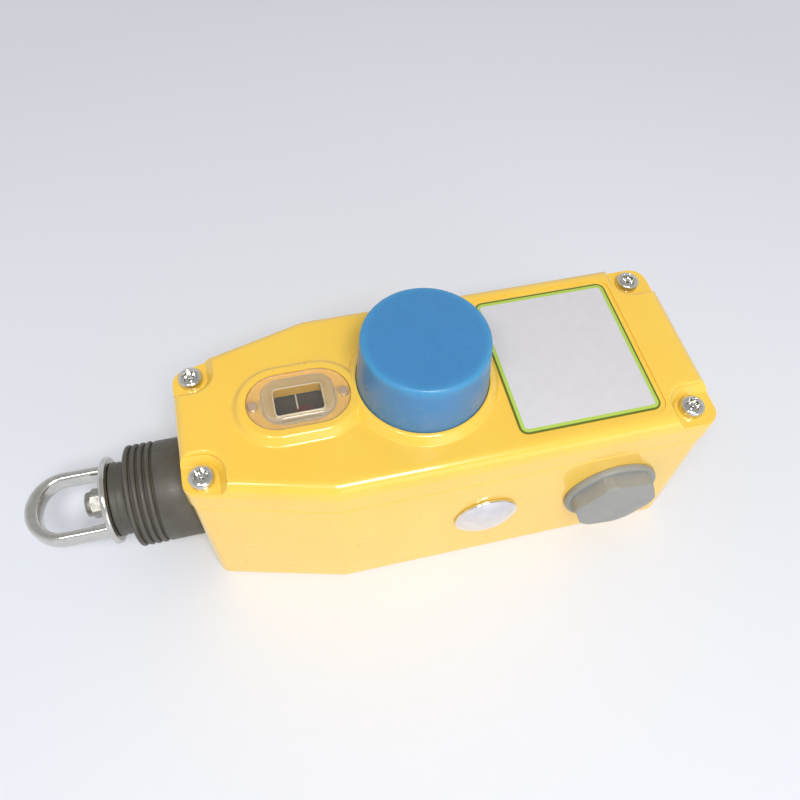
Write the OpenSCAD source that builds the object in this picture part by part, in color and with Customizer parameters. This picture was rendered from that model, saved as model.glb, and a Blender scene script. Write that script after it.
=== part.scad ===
// Rope pull switch: a cast housing with a screwed lid, a sprung shaft with a swivelling pull eye,
// a reset button with its latch lever, and two contact blocks worked by a wedge cam.
// The housing lies on its flat back. X runs from the rope end (minus) to the cable end (plus),
// Z from the mounting back to the lid. The origin is the centre of the four fixing holes.

/* [Housing] */
// Length of the housing from the fixing centre to the rope end
rope_l = 75; // [73:0.5:90]
// Length of the housing from the fixing centre to the cable end
cable_l = 77.7; // [76:0.1:90]
// Width of the housing at the cable end
body_w = 60; // [58:0.5:70]
// Width of the housing at the rope end
nose_w = 39; // [37:0.5:46]
// Length of the tapered stretch
taper_l = 40; // [32:0.5:46]
// Height of the base casting
base_h = 51.8; // [50:0.1:60]
// Thickness of the side walls
wall = 3.5; // [3:0.1:4]
// Thickness of the floor
floor_t = 4; // [3.5:0.1:5]
// Outer corner radius at the rope end
nose_corner_r = 4; // [2:0.1:6]
// Radius of the soft bend where the taper starts
bend_r = 12; // [4:0.5:20]
// Outer corner radius at the cable end
cable_corner_r = 4.8; // [3:0.1:8]
// Rounding of the lower edge
foot_round = 1.5; // [0.5:0.1:2.5]
// Height of the bevelled band under the parting line
band_h = 2.8; // [1.5:0.1:4]
// How far the band leans in
band_lean = 0.5; // [0.2:0.05:0.6]

/* [Fixing holes] */
// Spacing of the fixing holes along the housing
fix_x = 104; // [100:0.5:108]
// Spacing of the fixing holes across the housing
fix_y = 32; // [28:0.5:34]
// Radius of the M5 fixing holes
fix_r = 2.5; // [2:0.1:3]
// Depth of the fixing holes
fix_depth = 10; // [6:0.5:10.5]
// Radius of the bosses over the fixing holes
fix_boss_r = 5; // [4.5:0.1:5.5]
// Height of the bosses over the fixing holes
fix_boss_h = 12; // [11.5:0.1:14]

/* [Lid] */
// Gap at the parting line
seam_gap = 0.3; // [0.2:0.05:0.5]
// Height of the lid's rim, up to the screw corners
rim_h = 7.9; // [7:0.1:9]
// Height of the raised panel above the screw corners
panel_h = 3.7; // [3:0.1:5]
// How far the lid stands out over the base
lid_over = 0.5; // [0.2:0.05:0.6]
// How far the panel's flank leans in
panel_lean = 0.3; // [0.4:0.1:1.2]
// Rounding of the panel's upper edge
panel_round = 3.6; // [2:0.1:3.6]
// Rounding of the screw corners' outer edge
pad_round = 1.4; // [0.6:0.1:1.6]
// Thickness of the lid's skin
lid_t = 3.2; // [2.8:0.1:3.6]
// Radius of the cut round each lid screw
corner_cut_r = 4.9; // [4.4:0.1:5.6]
// How much those pockets widen upwards
corner_draft = 1.5; // [0.8:0.1:1.8]

/* [Lid screws] */
// Rope end screws: distance from the end wall
screw_end_l = 5.2; // [5:0.1:6.5]
// Rope end screws: distance from the width line of that end
screw_side_l = 3; // [2.6:0.1:4]
// Cable end screws: distance from the end wall
screw_end_r = 7; // [4.8:0.1:7.2]
// Cable end screws: distance from the side wall
screw_side_r = 5.6; // [4.8:0.1:6.5]
// Radius of the screw shank
lid_screw_r = 1.95; // [1.7:0.05:2]
// Radius of the screw head
lid_head_r = 3.5; // [3.2:0.05:3.8]
// Height of the screw head
lid_head_h = 2.8; // [2.4:0.1:3.4]
// Length of the screw under its head
lid_screw_l = 16; // [12:0.5:20]

/* [Gasket] */
// Distance of the lid gasket from the outer face
gasket_in = 0.8; // [0.7:0.05:0.9]
// Width of the lid gasket
gasket_w = 1; // [0.8:0.05:1.1]
// Height of the lid gasket
gasket_h = 1.6; // [1.2:0.1:2]

/* [Shaft] */
// Height of the shaft's axis above the back
axis_z = 28; // [26:0.1:30]
// Radius of the shaft
shaft_r = 5; // [4.5:0.05:5.2]
// Radius of the threaded stud at the shaft's front
stud_r = 2.5; // [2.3:0.05:3]
// Travel of the shaft when the rope is pulled
pull_travel = 14; // [8:0.5:14]
// Shaft length behind the housing's centre
shaft_back = 62; // [58:0.5:64]
// Length of the nose
nose_l = 7; // [6:0.1:9]
// Outer radius of the shaft bush
bush_r = 8; // [7:0.1:9]
// Radius of the bush's flange
bush_flange_r = 11; // [10:0.1:11.5]
// Thickness of the bush's flange
bush_flange_t = 2; // [1.5:0.1:3]
// Thickness of the wiper ring in the nose
wiper_t = 2.8; // [2:0.1:3]

/* [Main spring] */
// Radius of the spring wire
main_wire_r = 1.25; // [0.8:0.05:1.3]
// Mean radius of the coil
main_coil_r = 8; // [7.6:0.05:8.4]
// Number of turns
main_turns = 9; // [6:0.5:10]
// Position of the collar's front face behind the end wall
collar_at = 51; // [48:0.5:51]
// Length of the collar
collar_l = 6; // [6:0.1:8]
// Radius of the collar
collar_r = 10.5; // [9.8:0.1:11]
// Radius of the cross pins through collar and cam
cross_pin_r = 1.5; // [1:0.05:1.6]

/* [Gaiter] */
// Outer radius of the gaiter's sleeve
sleeve_r = 15.7; // [15.2:0.1:16.5]
// Wall of the gaiter
gaiter_t = 1.8; // [1.4:0.05:2]
// Length of the plain sleeve
sleeve_l = 11; // [10:0.1:13]
// Number of ribs
rib_n = 4; // [2:1:5]
// Distance from rib to rib
rib_pitch = 2.35; // [2:0.05:2.6]
// Depth of the grooves between the ribs
rib_depth = 1.1; // [0.6:0.05:1.3]
// Radius of the neck
neck_r = 11.2; // [10.5:0.1:12.5]
// Length of the neck, end wall included
neck_l = 3.3; // [3:0.1:6]

/* [Pull eye] */
// Radius of the eye's round base
eye_r = 13.7; // [12.6:0.1:14.5]
// Thickness of the eye's round base
eye_t = 2.1; // [1.9:0.1:3]
// Reach of the bow in front of the base
bow_reach = 24.9; // [22.5:0.1:27]
// Outer half width of the bow
bow_half = 11.7; // [11:0.1:12.5]
// Thickness of the bow's legs
leg_t = 3; // [2.6:0.1:3.6]
// Thickness of the bow at its crown
crown_t = 4.6; // [3.6:0.1:5.2]
// Height of the bow's section
bow_h = 6.5; // [5:0.1:7]
// Radius of the washer behind the spacer
washer_r = 10.4; // [9.4:0.1:11]
// Thickness of the washer behind the spacer
washer_t = 0.7; // [0.5:0.1:1]
// Radius of the swivel spacer
spacer_r = 11; // [10:0.1:12]
// Thickness of the swivel spacer
spacer_t = 0.7; // [0.5:0.1:1.2]
// Across flats of the eye nut
nut_af = 8; // [7:0.1:9]
// Height of the nut's hexagon
nut_hex_h = 5; // [4:0.1:5.5]
// Height of the nut's lock collar
nut_collar_h = 1.7; // [1.2:0.1:2]

/* [Reset button] */
// Position of the button's axis from the housing's centre
button_x = -4.3; // [-5:0.1:-3.5]
// Radius of the button at its top
button_top_r = 18; // [17:0.1:18.4]
// Radius of the button at its foot
button_foot_r = 19.2; // [18.8:0.1:19.4]
// Height of the button's top above the panel
button_h = 20.4; // [19.5:0.1:23]
// Travel of the button
press_travel = 4; // [2:0.1:4]
// Wall of the button
button_t = 2; // [1.6:0.1:2.4]
// Radius of the button's stem
stem_r = 4; // [3.5:0.05:4.2]
// Height of the lid's boss round the button
boss_h = 2.5; // [1.5:0.1:3]
// Radius of the boss at the panel
boss_foot_r = 22.4; // [21.8:0.1:22.4]
// Depth of the well below the top of the boss
well_depth = 6.3; // [6.3:0.1:6.6]
// Radius of the button spring's wire
button_wire_r = 0.8; // [0.5:0.05:0.9]
// Number of turns of the button spring
button_turns = 5; // [4:0.5:7]

/* [Window] */
// Position of the window's centre from the housing's centre
window_x = -40.4; // [-41:0.1:-40]
// Length of the window lens
lens_l = 29.5; // [28:0.1:30]
// Width of the window lens
lens_w = 18.4; // [18:0.1:19]
// Thickness of the lens's flange
lens_t = 1.4; // [1:0.1:1.8]
// Length of the lens's raised centre
bump_l = 20.6; // [20.4:0.1:21]
// Width of the lens's raised centre
bump_w = 14.6; // [14:0.1:15]
// Height of the raised centre above the flange
bump_h = 1.5; // [0.8:0.1:2]
// Length of the opening in the lid
sight_l = 13.6; // [12:0.1:14]
// Width of the opening in the lid
sight_w = 8.6; // [8:0.1:9.5]
// Height of the pad that holds the lens
pad_h = 2.4; // [2.2:0.1:3]
// Width of the pad's top round the lens
pad_rim = 2.2; // [1.8:0.1:2.6]
// Radius of the two pegs
peg_r = 1.25; // [1:0.05:1.6]

/* [Label] */
// Position of the label's centre from the housing's centre
label_x = 39.6; // [39.6:0.1:41]
// Length of the label
label_l = 42.8; // [40:0.1:42.8]
// Width of the label
label_w = 48.2; // [46:0.1:48.4]
// Thickness of the label
label_t = 0.3; // [0.2:0.05:0.4]
// Corner radius of the label
label_corner = 2.6; // [2:0.1:4]
// Width of the recess left free round the label
label_margin = 1.5; // [0.5:0.1:1.6]

/* [Conduit entries] */
// Position of the side entries from the housing's centre
entry_x = 51.5; // [51.5:0.1:54]
// Radius of the M20 entries
entry_r = 10; // [9.8:0.05:10.2]
// Length of the entry thread, wall and boss together
entry_l = 7.5; // [6.5:0.1:7.5]
// Wall of the boss round an entry thread
entry_boss_t = 3; // [2.5:0.1:3.4]
// Radius of the blanking plug's flange
plug_flange_r = 15; // [14.6:0.1:16]
// Thickness of the blanking plug's flange
plug_flange_t = 2; // [1.6:0.1:2.6]
// Across flats of the blanking plug
plug_af = 25; // [23:0.5:25.5]
// Height of the blanking plug's hexagon
plug_hex_h = 4.5; // [4:0.1:9]
// Radius of the seal groove under a plug's flange
plug_seal_r = 12.2; // [12:0.1:13]
// Radius of the seal ring's section
seal_wire_r = 0.8; // [0.6:0.05:0.9]

/* [Domed plug] */
// Position of the domed plug from the housing's centre
dome_x = 10.2; // [9:0.1:11]
// Radius of the dome
dome_r = 10; // [9.6:0.1:10.6]
// Height of the dome
dome_h = 3.4; // [2.4:0.1:4]
// Radius of the domed plug's thread
dome_thread_r = 7.9; // [7.4:0.05:8]
// Thickness of the nut inside
dome_nut_t = 3; // [2.4:0.1:3.2]

/* [Mechanism] */
// Height of the chassis plate's upper face
chassis_z = 10; // [9.6:0.1:10.6]
// Thickness of the chassis sheet
chassis_t = 2; // [1.6:0.1:2]
// Half width inside the latch cheeks
cheek_in = 8.5; // [8.4:0.1:8.8]
// Reach of the button's stem below its bush
stem_reach = 6; // [5.8:0.1:6.2]
// Distance of the latch pivot behind the button's axis
pivot_back = 14.3; // [14.2:0.1:15]
// Radius of the latch pivot
pivot_r = 2; // [1.6:0.05:2.1]
// Width of the latch lever
lever_w = 7; // [6:0.1:7.6]
// Front face of the wedge cam from the housing's centre
cam_x = 22; // [21.8:0.1:22.4]
// Length of the wedge cam
cam_l = 21.4; // [20:0.1:21.4]
// Half width of the wedge cam at its front face
cam_front = 5.8; // [5.6:0.1:6]
// Slope of the cam's flanks
cam_slope = 0.2; // [0.1:0.01:0.2]
// Height of the cam above the shaft's axis
cam_up = 8; // [7.6:0.1:8]
// Position of the contact plungers from the housing's centre
plunger_x = 28; // [27.5:0.1:29]
// Radius of the contact plungers
plunger_r = 2.2; // [1.8:0.05:2.4]
// Inner face of the contact blocks from the middle
block_in = 12; // [11.6:0.1:12.4]
// Depth of the contact blocks
block_d = 10.2; // [9.8:0.1:10.2]
// Length of the contact blocks
block_l = 26; // [24:0.1:26]
// Height of the contact blocks
block_h = 35; // [33:0.5:36]

/* [Fits] */
// Radial clearance of pieces that stay together
fixed_gap = 0.03; // [0.02:0.01:0.05]
// Radial clearance of pieces that slide or turn
run_gap = 0.06; // [0.04:0.01:0.1]
// Clearance of screws in their holes
hole_gap = 0.15; // [0.1:0.05:0.2]
// Gap between soft or moving faces
soft_gap = 0.3; // [0.2:0.05:0.4]

/* [Hidden] */
$fn = 48;
arc_n = 5;
coil_sides = 8;
coil_steps = 12;
bow_sides = 12;
eps = 0.01;

half_w = body_w / 2;
half_nose = nose_w / 2;
bend_x = -rope_l + taper_l;

// Heights of the lid
lid_z = base_h + seam_gap;
rim_z = lid_z + rim_h;
panel_z = rim_z + panel_h;
ceiling_z = panel_z - lid_t;
pad_z = panel_z + pad_h;
boss_z = panel_z + boss_h;
well_z = boss_z - well_depth;
under_boss_z = well_z - 2.6;

// Places of the lid screws
screws = [
    [-rope_l + screw_end_l, half_nose - screw_side_l],
    [-rope_l + screw_end_l, -half_nose + screw_side_l],
    [cable_l - screw_end_r, half_w - screw_side_r],
    [cable_l - screw_end_r, -half_w + screw_side_r]];
post_r = 4.2;

// Places along the shaft, from the rope end
wall_in_x = -rope_l + wall;
nose_x = -rope_l - nose_l;
collar_x = -rope_l + collar_at;
sleeve_x = -rope_l - 0.2;
nose_r = sleeve_r - gaiter_t - soft_gap;
rib_x = sleeve_x - sleeve_l;
neck_x = rib_x - rib_n * rib_pitch;
gaiter_x = neck_x - neck_l;
stud_x = gaiter_x + gaiter_t + 0.1;
washer_x = gaiter_x - 0.05 - washer_t;
spacer_x = washer_x - 0.05 - spacer_t;
eye_x = spacer_x - 0.1 - eye_t;
nut_x = eye_x - 0.1;
stud_tip_x = nut_x - nut_hex_h - nut_collar_h + 0.3;

// Button and latch
button_top_z = panel_z + button_h;
button_foot_z = boss_z - 1.6;
cap_t = 3;
spring_out = 1.6;
bush_out_r = stem_r + run_gap + 2;
guide_r = bush_out_r + 3.2;
guide_z = boss_z + 1.2;
bush_low_z = under_boss_z - 3;
stem_tip_z = bush_low_z - stem_reach;
pivot_x = button_x + pivot_back;
pivot_z = stem_tip_z - 2 - soft_gap;
lever_hub_r = 4.4;
cheek_t = 1.5;
clip_t = 0.8;

// Flag under the window
flag_z = ceiling_z - 0.4;
flag_t = 1.2;
flag_l = lens_l - 4.9;
flag_w = lens_w - 4.4;
arm_t = 1.5;
arm_w = 8;
riser_x = window_x + 11.9;
arm_z = axis_z + main_coil_r + main_wire_r + 0.5;

// Contact blocks
plunger_gap = 0.15;
cam_at_plunger = cam_front + cam_slope * (plunger_x - cam_x);
plunger_ball_y = cam_at_plunger + (plunger_r + plunger_gap) * sqrt(1 + cam_slope * cam_slope);
rear_tab_x = cam_x + cam_l + 0.6;
block_x = plunger_x - block_l / 2;
block_screw_dx = block_l / 2 - 3.5;
terminal_in = 1.75;
chassis_x0 = pivot_x - 14;
chassis_x1 = rear_tab_x + chassis_t + 0.5;
chassis_screws_at = [[3, 17], [3, -17], [chassis_x1 - 2.6, 18], [chassis_x1 - 2.6, -18]];
earth_x = cable_l - 11;

// ---- outline of the housing ----

// Corners of the housing's outline, anticlockwise, with their radii
corners = [
    [-rope_l, -half_nose], [bend_x, -half_w], [cable_l, -half_w],
    [cable_l, half_w], [bend_x, half_w], [-rope_l, half_nose]];
corner_radii = [nose_corner_r, bend_r, cable_corner_r, cable_corner_r, bend_r, nose_corner_r];

function unit(v) = v / norm(v);
function outward(a, b) = let (d = unit(b - a)) [d[1], -d[0]];

// Point at distance d inside both edges that meet at corner p
function corner_inside(a, p, b, d) =
    let (na = outward(a, p), nb = outward(p, b))
    p - d * (na + nb) / (1 + na * nb);

// Rounded outline, moved in by inset
function outline(inset) = [
    for (i = [0 : len(corners) - 1])
        let (
            a = corners[(i + len(corners) - 1) % len(corners)],
            p = corners[i],
            b = corners[(i + 1) % len(corners)],
            r = max(corner_radii[i] - inset, 0.6),
            c = corner_inside(a, p, b, inset + r),
            na = outward(a, p),
            nb = outward(p, b),
            from_deg = atan2(na[1], na[0]),
            turn = acos(min(1, na * nb)))
        for (k = [0 : arc_n])
            let (g = from_deg + turn * k / arc_n) c + r * [cos(g), sin(g)]];

// Slab of the outline between two heights
module slab(inset, z0, z1) {
    translate([0, 0, z0]) linear_extrude(z1 - z0) polygon(outline(inset));
}

// Body through the outline, given as [inset, height] from below upwards
module outline_loft(steps) {
    skin([for (s = steps) [for (p = outline(s[0])) [p[0], p[1], s[1]]]]);
}

// ---- helpers ----

// Turns a shape drawn along Z so that it runs along X
module along_x() {
    translate([0, 0, axis_z]) rotate([0, 90, 0]) children();
}

// Turns a shape drawn along Z so that it leaves through the front (side -1) or rear (side 1)
module through_side(x, side) {
    translate([x, side * half_w, axis_z]) rotate([-side * 90, 0, 0]) children();
}

// Flat shape with round ends, along X
module obround(l, w, t) {
    r = w / 2;
    linear_extrude(t) union() {
        square([l - w, w], center = true);
        for (s = [-1, 1]) translate([s * (l / 2 - r), 0]) circle(r);
    }
}

// Points of an obround along X, anticlockwise
function obround_ring(l, w) = concat(
    [for (k = [0 : 20]) [l / 2 - w / 2 + w / 2 * cos(9 * k - 90), w / 2 * sin(9 * k - 90)]],
    [for (k = [0 : 20]) [w / 2 - l / 2 + w / 2 * cos(9 * k + 90), w / 2 * sin(9 * k + 90)]]);

// Rectangle with round corners
module round_plate(l, w, r, t) {
    linear_extrude(t) union() {
        square([l - 2 * r, w], center = true);
        square([l, w - 2 * r], center = true);
        for (sx = [-1, 1], sy = [-1, 1]) translate([sx * (l / 2 - r), sy * (w / 2 - r)]) circle(r);
    }
}

// Plain ring along Z
module ring(r_out, r_in, h) {
    difference() {
        cylinder(r = r_out, h = h);
        translate([0, 0, -1]) cylinder(r = r_in, h = h + 2);
    }
}

// Hexagonal prism along Z, measured across its flats
module hexagon(af, h) {
    cylinder(r = af / sqrt(3), h = h, $fn = 6);
}

// Skin of a tube made of rings of points, anticlockwise seen from its end, closed by its end rings
module skin(rings) {
    n = len(rings[0]);
    m = len(rings);
    points = [for (ring_points = rings) for (p = ring_points) p];
    sides = [for (i = [0 : m - 2], j = [0 : n - 1])
        [i * n + j, (i + 1) * n + j, (i + 1) * n + (j + 1) % n, i * n + (j + 1) % n]];
    first = [for (j = [0 : n - 1]) j];
    last = [for (j = [n - 1 : -1 : 0]) (m - 1) * n + j];
    polyhedron(points = points, faces = concat([first], sides, [last]), convexity = 10);
}

// Coil spring along Z with closed ends
function coil_z(t, turns, l, wire_r) =
    let (dead = 2 * wire_r * 1.02, live = l - 2 * dead - 2 * wire_r)
    wire_r + (t < 1 ? dead * t : t > turns - 1 ? l - 2 * wire_r - dead * (turns - t)
        : dead + live * (t - 1) / (turns - 2));
module coil(coil_r, wire_r, turns, l) {
    steps = turns * coil_steps;
    skin([for (i = [0 : steps])
        let (t = i / coil_steps, a = 360 * t, z = coil_z(t, turns, l, wire_r))
        [for (j = [0 : coil_sides - 1])
            let (b = -360 * j / coil_sides, r = coil_r + wire_r * cos(b))
            [r * cos(a), r * sin(a), z + wire_r * sin(b)]]]);
}

// Pan head with a round socket and its centre pin, head upwards
module pan_screw(head_r, head_h, shank_r, l) {
    difference() {
        rotate_extrude() union() {
            polygon([[0, 0], [head_r, 0], [head_r, head_h * 0.72], [head_r * 0.93, head_h * 0.87],
                [head_r * 0.78, head_h * 0.95], [0, head_h]]);
            translate([0, -l]) square([shank_r, l]);
        }
        translate([0, 0, head_h * 0.5]) ring(head_r * 0.5, head_r * 0.16, head_h);
    }
}

// Slotted cheese-head screw, head upwards
module slot_screw(head_r, head_h, shank_r, l) {
    difference() {
        rotate_extrude() union() {
            square([head_r, head_h]);
            translate([0, -l]) square([shank_r, l]);
        }
        translate([-head_r - 1, -0.35, head_h * 0.5]) cube([2 * head_r + 2, 0.7, head_h]);
    }
}

// ---- housing ----

module fixing_bosses() {
    for (sx = [-1, 1], sy = [-1, 1])
        translate([sx * fix_x / 2, sy * fix_y / 2, 1]) cylinder(r = fix_boss_r, h = fix_boss_h - 1);
}

module entry_boss(r) {
    translate([0, 0, -entry_l]) cylinder(r = r + entry_boss_t, h = entry_l - 1);
}

module housing_base() {
    color("gold")
    difference() {
        union() {
            difference() {
                outline_loft([[foot_round, 0], [foot_round * 0.3, foot_round * 0.3],
                    [0, foot_round], [0, base_h - band_h], [band_lean, base_h]]);
                slab(wall, floor_t, base_h + 1);
            }
            intersection() {
                slab(1, 1, base_h);
                union() {
                    for (p = screws) translate([p[0], p[1], 1]) cylinder(r = post_r, h = base_h - 1);
                    for (side = [-1, 1]) through_side(entry_x, side) entry_boss(entry_r);
                    translate([cable_l, 0, axis_z]) rotate([0, 90, 0]) entry_boss(entry_r);
                    fixing_bosses();
                }
            }
            for (p = chassis_screws_at)
                translate([p[0], p[1], 1]) cylinder(r = 3.4, h = chassis_z - chassis_t - 1);
            translate([earth_x, 0, 1]) cylinder(r = 4, h = 7);
            translate([nose_x, 0, 0]) along_x() cylinder(r = nose_r, h = nose_l + 1);
        }
        for (p = screws) translate([p[0], p[1], base_h - lid_screw_l + 4])
            cylinder(r = lid_screw_r + hole_gap, h = lid_screw_l);
        for (sx = [-1, 1], sy = [-1, 1])
            translate([sx * fix_x / 2, sy * fix_y / 2, -1]) cylinder(r = fix_r, h = fix_depth + 1);
        for (p = chassis_screws_at) translate([p[0], p[1], floor_t - 2])
            cylinder(r = 1.5 + hole_gap, h = chassis_z);
        translate([earth_x, 0, 1.4]) cylinder(r = 2 + hole_gap, h = 10);
        for (side = [-1, 1]) through_side(entry_x, side)
            translate([0, 0, -entry_l - 1]) cylinder(r = entry_r, h = entry_l + 2);
        translate([cable_l, 0, axis_z]) rotate([0, 90, 0])
            translate([0, 0, -entry_l - 1]) cylinder(r = entry_r, h = entry_l + 2);
        through_side(dome_x, -1)
            translate([0, 0, -wall - 1]) cylinder(r = dome_thread_r + hole_gap, h = wall + 2);
        translate([nose_x - 1, 0, 0]) along_x()
            cylinder(r = bush_r + fixed_gap, h = nose_l + wall + 3);
    }
}

// Corner block that the raised panel leaves free round a lid screw, as a ring at one height
function corner_ring(p, r, z) =
    let (sx = sign(p[0]), sy = sign(p[1]), reach = 30,
        loop = concat([for (k = [0 : 8]) [-r * cos(11.25 * k), -r * sin(11.25 * k)]],
            [[reach, -r], [reach, reach], [-r, reach]]),
        last = len(loop) - 1)
    [for (k = [0 : last]) let (q = loop[sx * sy > 0 ? k : last - k]) [p[0] + sx * q[0], p[1] + sy * q[1], z]];

module corner_cut(p, r0, r1, z0, z1) {
    skin([corner_ring(p, r0, z0), corner_ring(p, r1, z1)]);
}

module raised_panel() {
    difference() {
        outline_loft(concat([[0.05 - lid_over, rim_z - 1.2]],
            [for (k = [0 : 4]) let (a = 22.5 * k)
                [panel_lean - lid_over + panel_round * (1 - cos(a)),
                 panel_z - panel_round * (1 - sin(a))]]));
        for (p = screws) corner_cut(p, corner_cut_r, corner_cut_r + corner_draft, rim_z, panel_z + 1);
    }
}

module window_pad() {
    difference() {
        translate([window_x, 0, 0]) skin([for (s = [[4.6, panel_z - 1], [4, panel_z],
            [0.8, pad_z - 0.8], [0.3, pad_z - 0.3], [-0.6, pad_z]])
            [for (p = obround_ring(lens_l + 2 * pad_rim + s[0], lens_w + 2 * pad_rim + s[0]))
                [p[0], p[1], s[1]]]]);
        translate([button_x, 0, panel_z - 2]) cylinder(r = button_foot_r + soft_gap, h = 8);
    }
}

// Boss of the button, turned about the button's axis
module button_boss() {
    rim_r = button_foot_r + soft_gap + 0.7;
    translate([button_x, 0, 0]) rotate_extrude($fn = 96)
        polygon(concat([[0, under_boss_z]],
            [[boss_foot_r - 1.5, under_boss_z], [boss_foot_r, ceiling_z], [boss_foot_r, panel_z]],
            [for (k = [0 : 6]) let (u = k / 6)
                [boss_foot_r - (boss_foot_r - rim_r) * sin(90 * u),
                 panel_z + boss_h * (1 - cos(90 * u))]],
            [[0, boss_z]]));
}

module lid_hollow() {
    slab(lid_t, lid_z - 1, rim_z - lid_t);
    difference() {
        slab(lid_t + panel_lean, lid_z - 1, ceiling_z);
        for (p = screws) corner_cut(p, corner_cut_r + lid_t, corner_cut_r + lid_t, lid_z - 2, panel_z);
    }
}

module lid() {
    color("gold")
    difference() {
        union() {
            difference() {
                union() {
                    outline_loft([[-lid_over, lid_z], [-lid_over, rim_z - pad_round],
                        [pad_round * 0.3 - lid_over, rim_z - pad_round * 0.3],
                        [pad_round - lid_over, rim_z]]);
                    raised_panel();
                }
                lid_hollow();
            }
            intersection() {
                slab(1, lid_z, rim_z - 1);
                for (p = screws) translate([p[0], p[1], lid_z]) cylinder(r = post_r, h = rim_h - 1);
            }
            window_pad();
            button_boss();
            translate([button_x, 0, bush_low_z]) cylinder(r = guide_r, h = guide_z - bush_low_z);
        }
        for (p = screws) translate([p[0], p[1], lid_z - 1])
            cylinder(r = lid_screw_r + hole_gap, h = rim_h + 3);
        difference() {
            slab(gasket_in - 0.1, lid_z - 1, lid_z + gasket_h - seam_gap + 0.1);
            slab(gasket_in + gasket_w + 0.1, lid_z - 2, panel_z);
        }
        translate([button_x, 0, well_z])
            ring(button_foot_r + soft_gap, guide_r, boss_z - well_z + 2);
        translate([button_x, 0, bush_low_z - 1])
            cylinder(r = bush_out_r + fixed_gap, h = guide_z - bush_low_z + 2);
        translate([window_x, 0, pad_z - lens_t - 0.6]) obround(lens_l + 0.3, lens_w + 0.3, 5);
        translate([window_x, 0, ceiling_z - 1]) round_plate(sight_l, sight_w, 1, 10);
        for (s = [-1, 1]) translate([window_x + s * peg_dx(), 0, ceiling_z + 1])
            cylinder(r = peg_r + fixed_gap, h = 10);
        difference() {
            translate([label_x, 0, panel_z - label_t - 0.1]) round_plate(label_l + 2 * label_margin,
                label_w + 2 * label_margin, label_corner + label_margin, 5);
            translate([button_x, 0, panel_z - 2]) cylinder(r = boss_foot_r, h = 20);
        }
    }
}

module lid_gasket() {
    color("dimgray")
    difference() {
        slab(gasket_in, base_h + eps, base_h + eps + gasket_h);
        slab(gasket_in + gasket_w, base_h - 1, base_h + gasket_h + 1);
    }
}

module lid_screws() {
    color("silver")
    for (p = screws) translate([p[0], p[1], rim_z])
        pan_screw(lid_head_r, lid_head_h, lid_screw_r, lid_screw_l);
}

// ---- reset button ----

module reset_button() {
    foot_in = button_foot_r - button_t;
    top_in = button_top_r - button_t;
    hub_z = button_top_z - cap_t - 8;
    color("steelblue")
    translate([button_x, 0, 0])
    rotate_extrude($fn = 96) polygon(concat(
        [[foot_in, button_foot_z], [button_foot_r, button_foot_z],
         [button_foot_r, button_foot_z + 1.4], [button_top_r, button_top_z - 1.2]],
        [for (k = [1 : 5]) [button_top_r - 1.2 * (1 - cos(18 * k)), button_top_z - 1.2 * (1 - sin(18 * k))]],
        [[0, button_top_z], [0, button_top_z - cap_t + 1],
         [stem_r + fixed_gap, button_top_z - cap_t + 1], [stem_r + fixed_gap, hub_z],
         [stem_r + 2.4, hub_z], [stem_r + 2.6, button_top_z - cap_t],
         [top_in, button_top_z - cap_t]]));
}

module button_stem() {
    groove_z = bush_low_z - clip_t - 0.1;
    top_z = button_top_z - cap_t + 0.9;
    color("silver")
    translate([button_x, 0, 0])
    rotate_extrude() polygon(concat(
        [for (k = [0 : 6]) [stem_r * sin(15 * k), stem_tip_z + stem_r * (1 - cos(15 * k))]],
        [[stem_r, groove_z], [stem_r - 0.8, groove_z], [stem_r - 0.8, groove_z + clip_t + 0.1],
         [stem_r, groove_z + clip_t + 0.1], [stem_r, top_z], [0, top_z]]));
}

module button_bush() {
    seal_z = under_boss_z + 4;
    color("goldenrod")
    translate([button_x, 0, 0])
    rotate_extrude() polygon([
        [stem_r + run_gap, bush_low_z], [bush_out_r, bush_low_z], [bush_out_r, guide_z],
        [bush_out_r + 1.4, guide_z], [bush_out_r + 1.4, guide_z + 1], [stem_r + run_gap, guide_z + 1],
        [stem_r + run_gap, seal_z + 1.8], [stem_r + 1.6, seal_z + 1.8], [stem_r + 1.6, seal_z],
        [stem_r + run_gap, seal_z]]);
}

module stem_seal() {
    color("black")
    translate([button_x, 0, under_boss_z + 4.9])
    rotate_extrude() translate([stem_r + 0.82, 0]) circle(0.76, $fn = 24);
}

module stem_clip() {
    color("silver")
    translate([button_x, 0, bush_low_z - clip_t - 0.05])
    difference() {
        ring(stem_r + 1.8, stem_r - 0.8 + fixed_gap, clip_t);
        translate([0, -(stem_r - 1.4), -1]) cube([20, 2 * (stem_r - 1.4), clip_t + 2]);
    }
}

module button_spring() {
    low_z = well_z + 0.1;
    color("silver")
    translate([button_x, 0, low_z])
    coil(guide_r + spring_out, button_wire_r, button_turns, button_top_z - cap_t - 0.1 - low_z);
}

// ---- window and label ----

function peg_dx() = (lens_l + bump_l) / 4 + 0.4;

module window_lens() {
    color("wheat", 0.5)
    difference() {
        union() {
            translate([window_x, 0, pad_z - lens_t - 0.1]) obround(lens_l, lens_w, lens_t);
            translate([window_x, 0, pad_z - 0.2]) round_plate(bump_l, bump_w, 4.5, bump_h * 0.6 + 0.1);
            translate([window_x, 0, pad_z - 0.2])
                round_plate(bump_l - 1.4, bump_w - 1.4, 3.8, bump_h + 0.1);
        }
        for (s = [-1, 1]) translate([window_x + s * peg_dx(), 0, pad_z - 5])
            cylinder(r = peg_r + fixed_gap, h = 10);
    }
}

module window_gasket() {
    color("dimgray")
    translate([window_x, 0, pad_z - lens_t - 0.55])
    difference() {
        obround(bump_l + 1.5, bump_w, 0.4);
        translate([0, 0, -1]) round_plate(sight_l + 1, sight_w + 1, 1.5, 3);
    }
}

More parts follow.
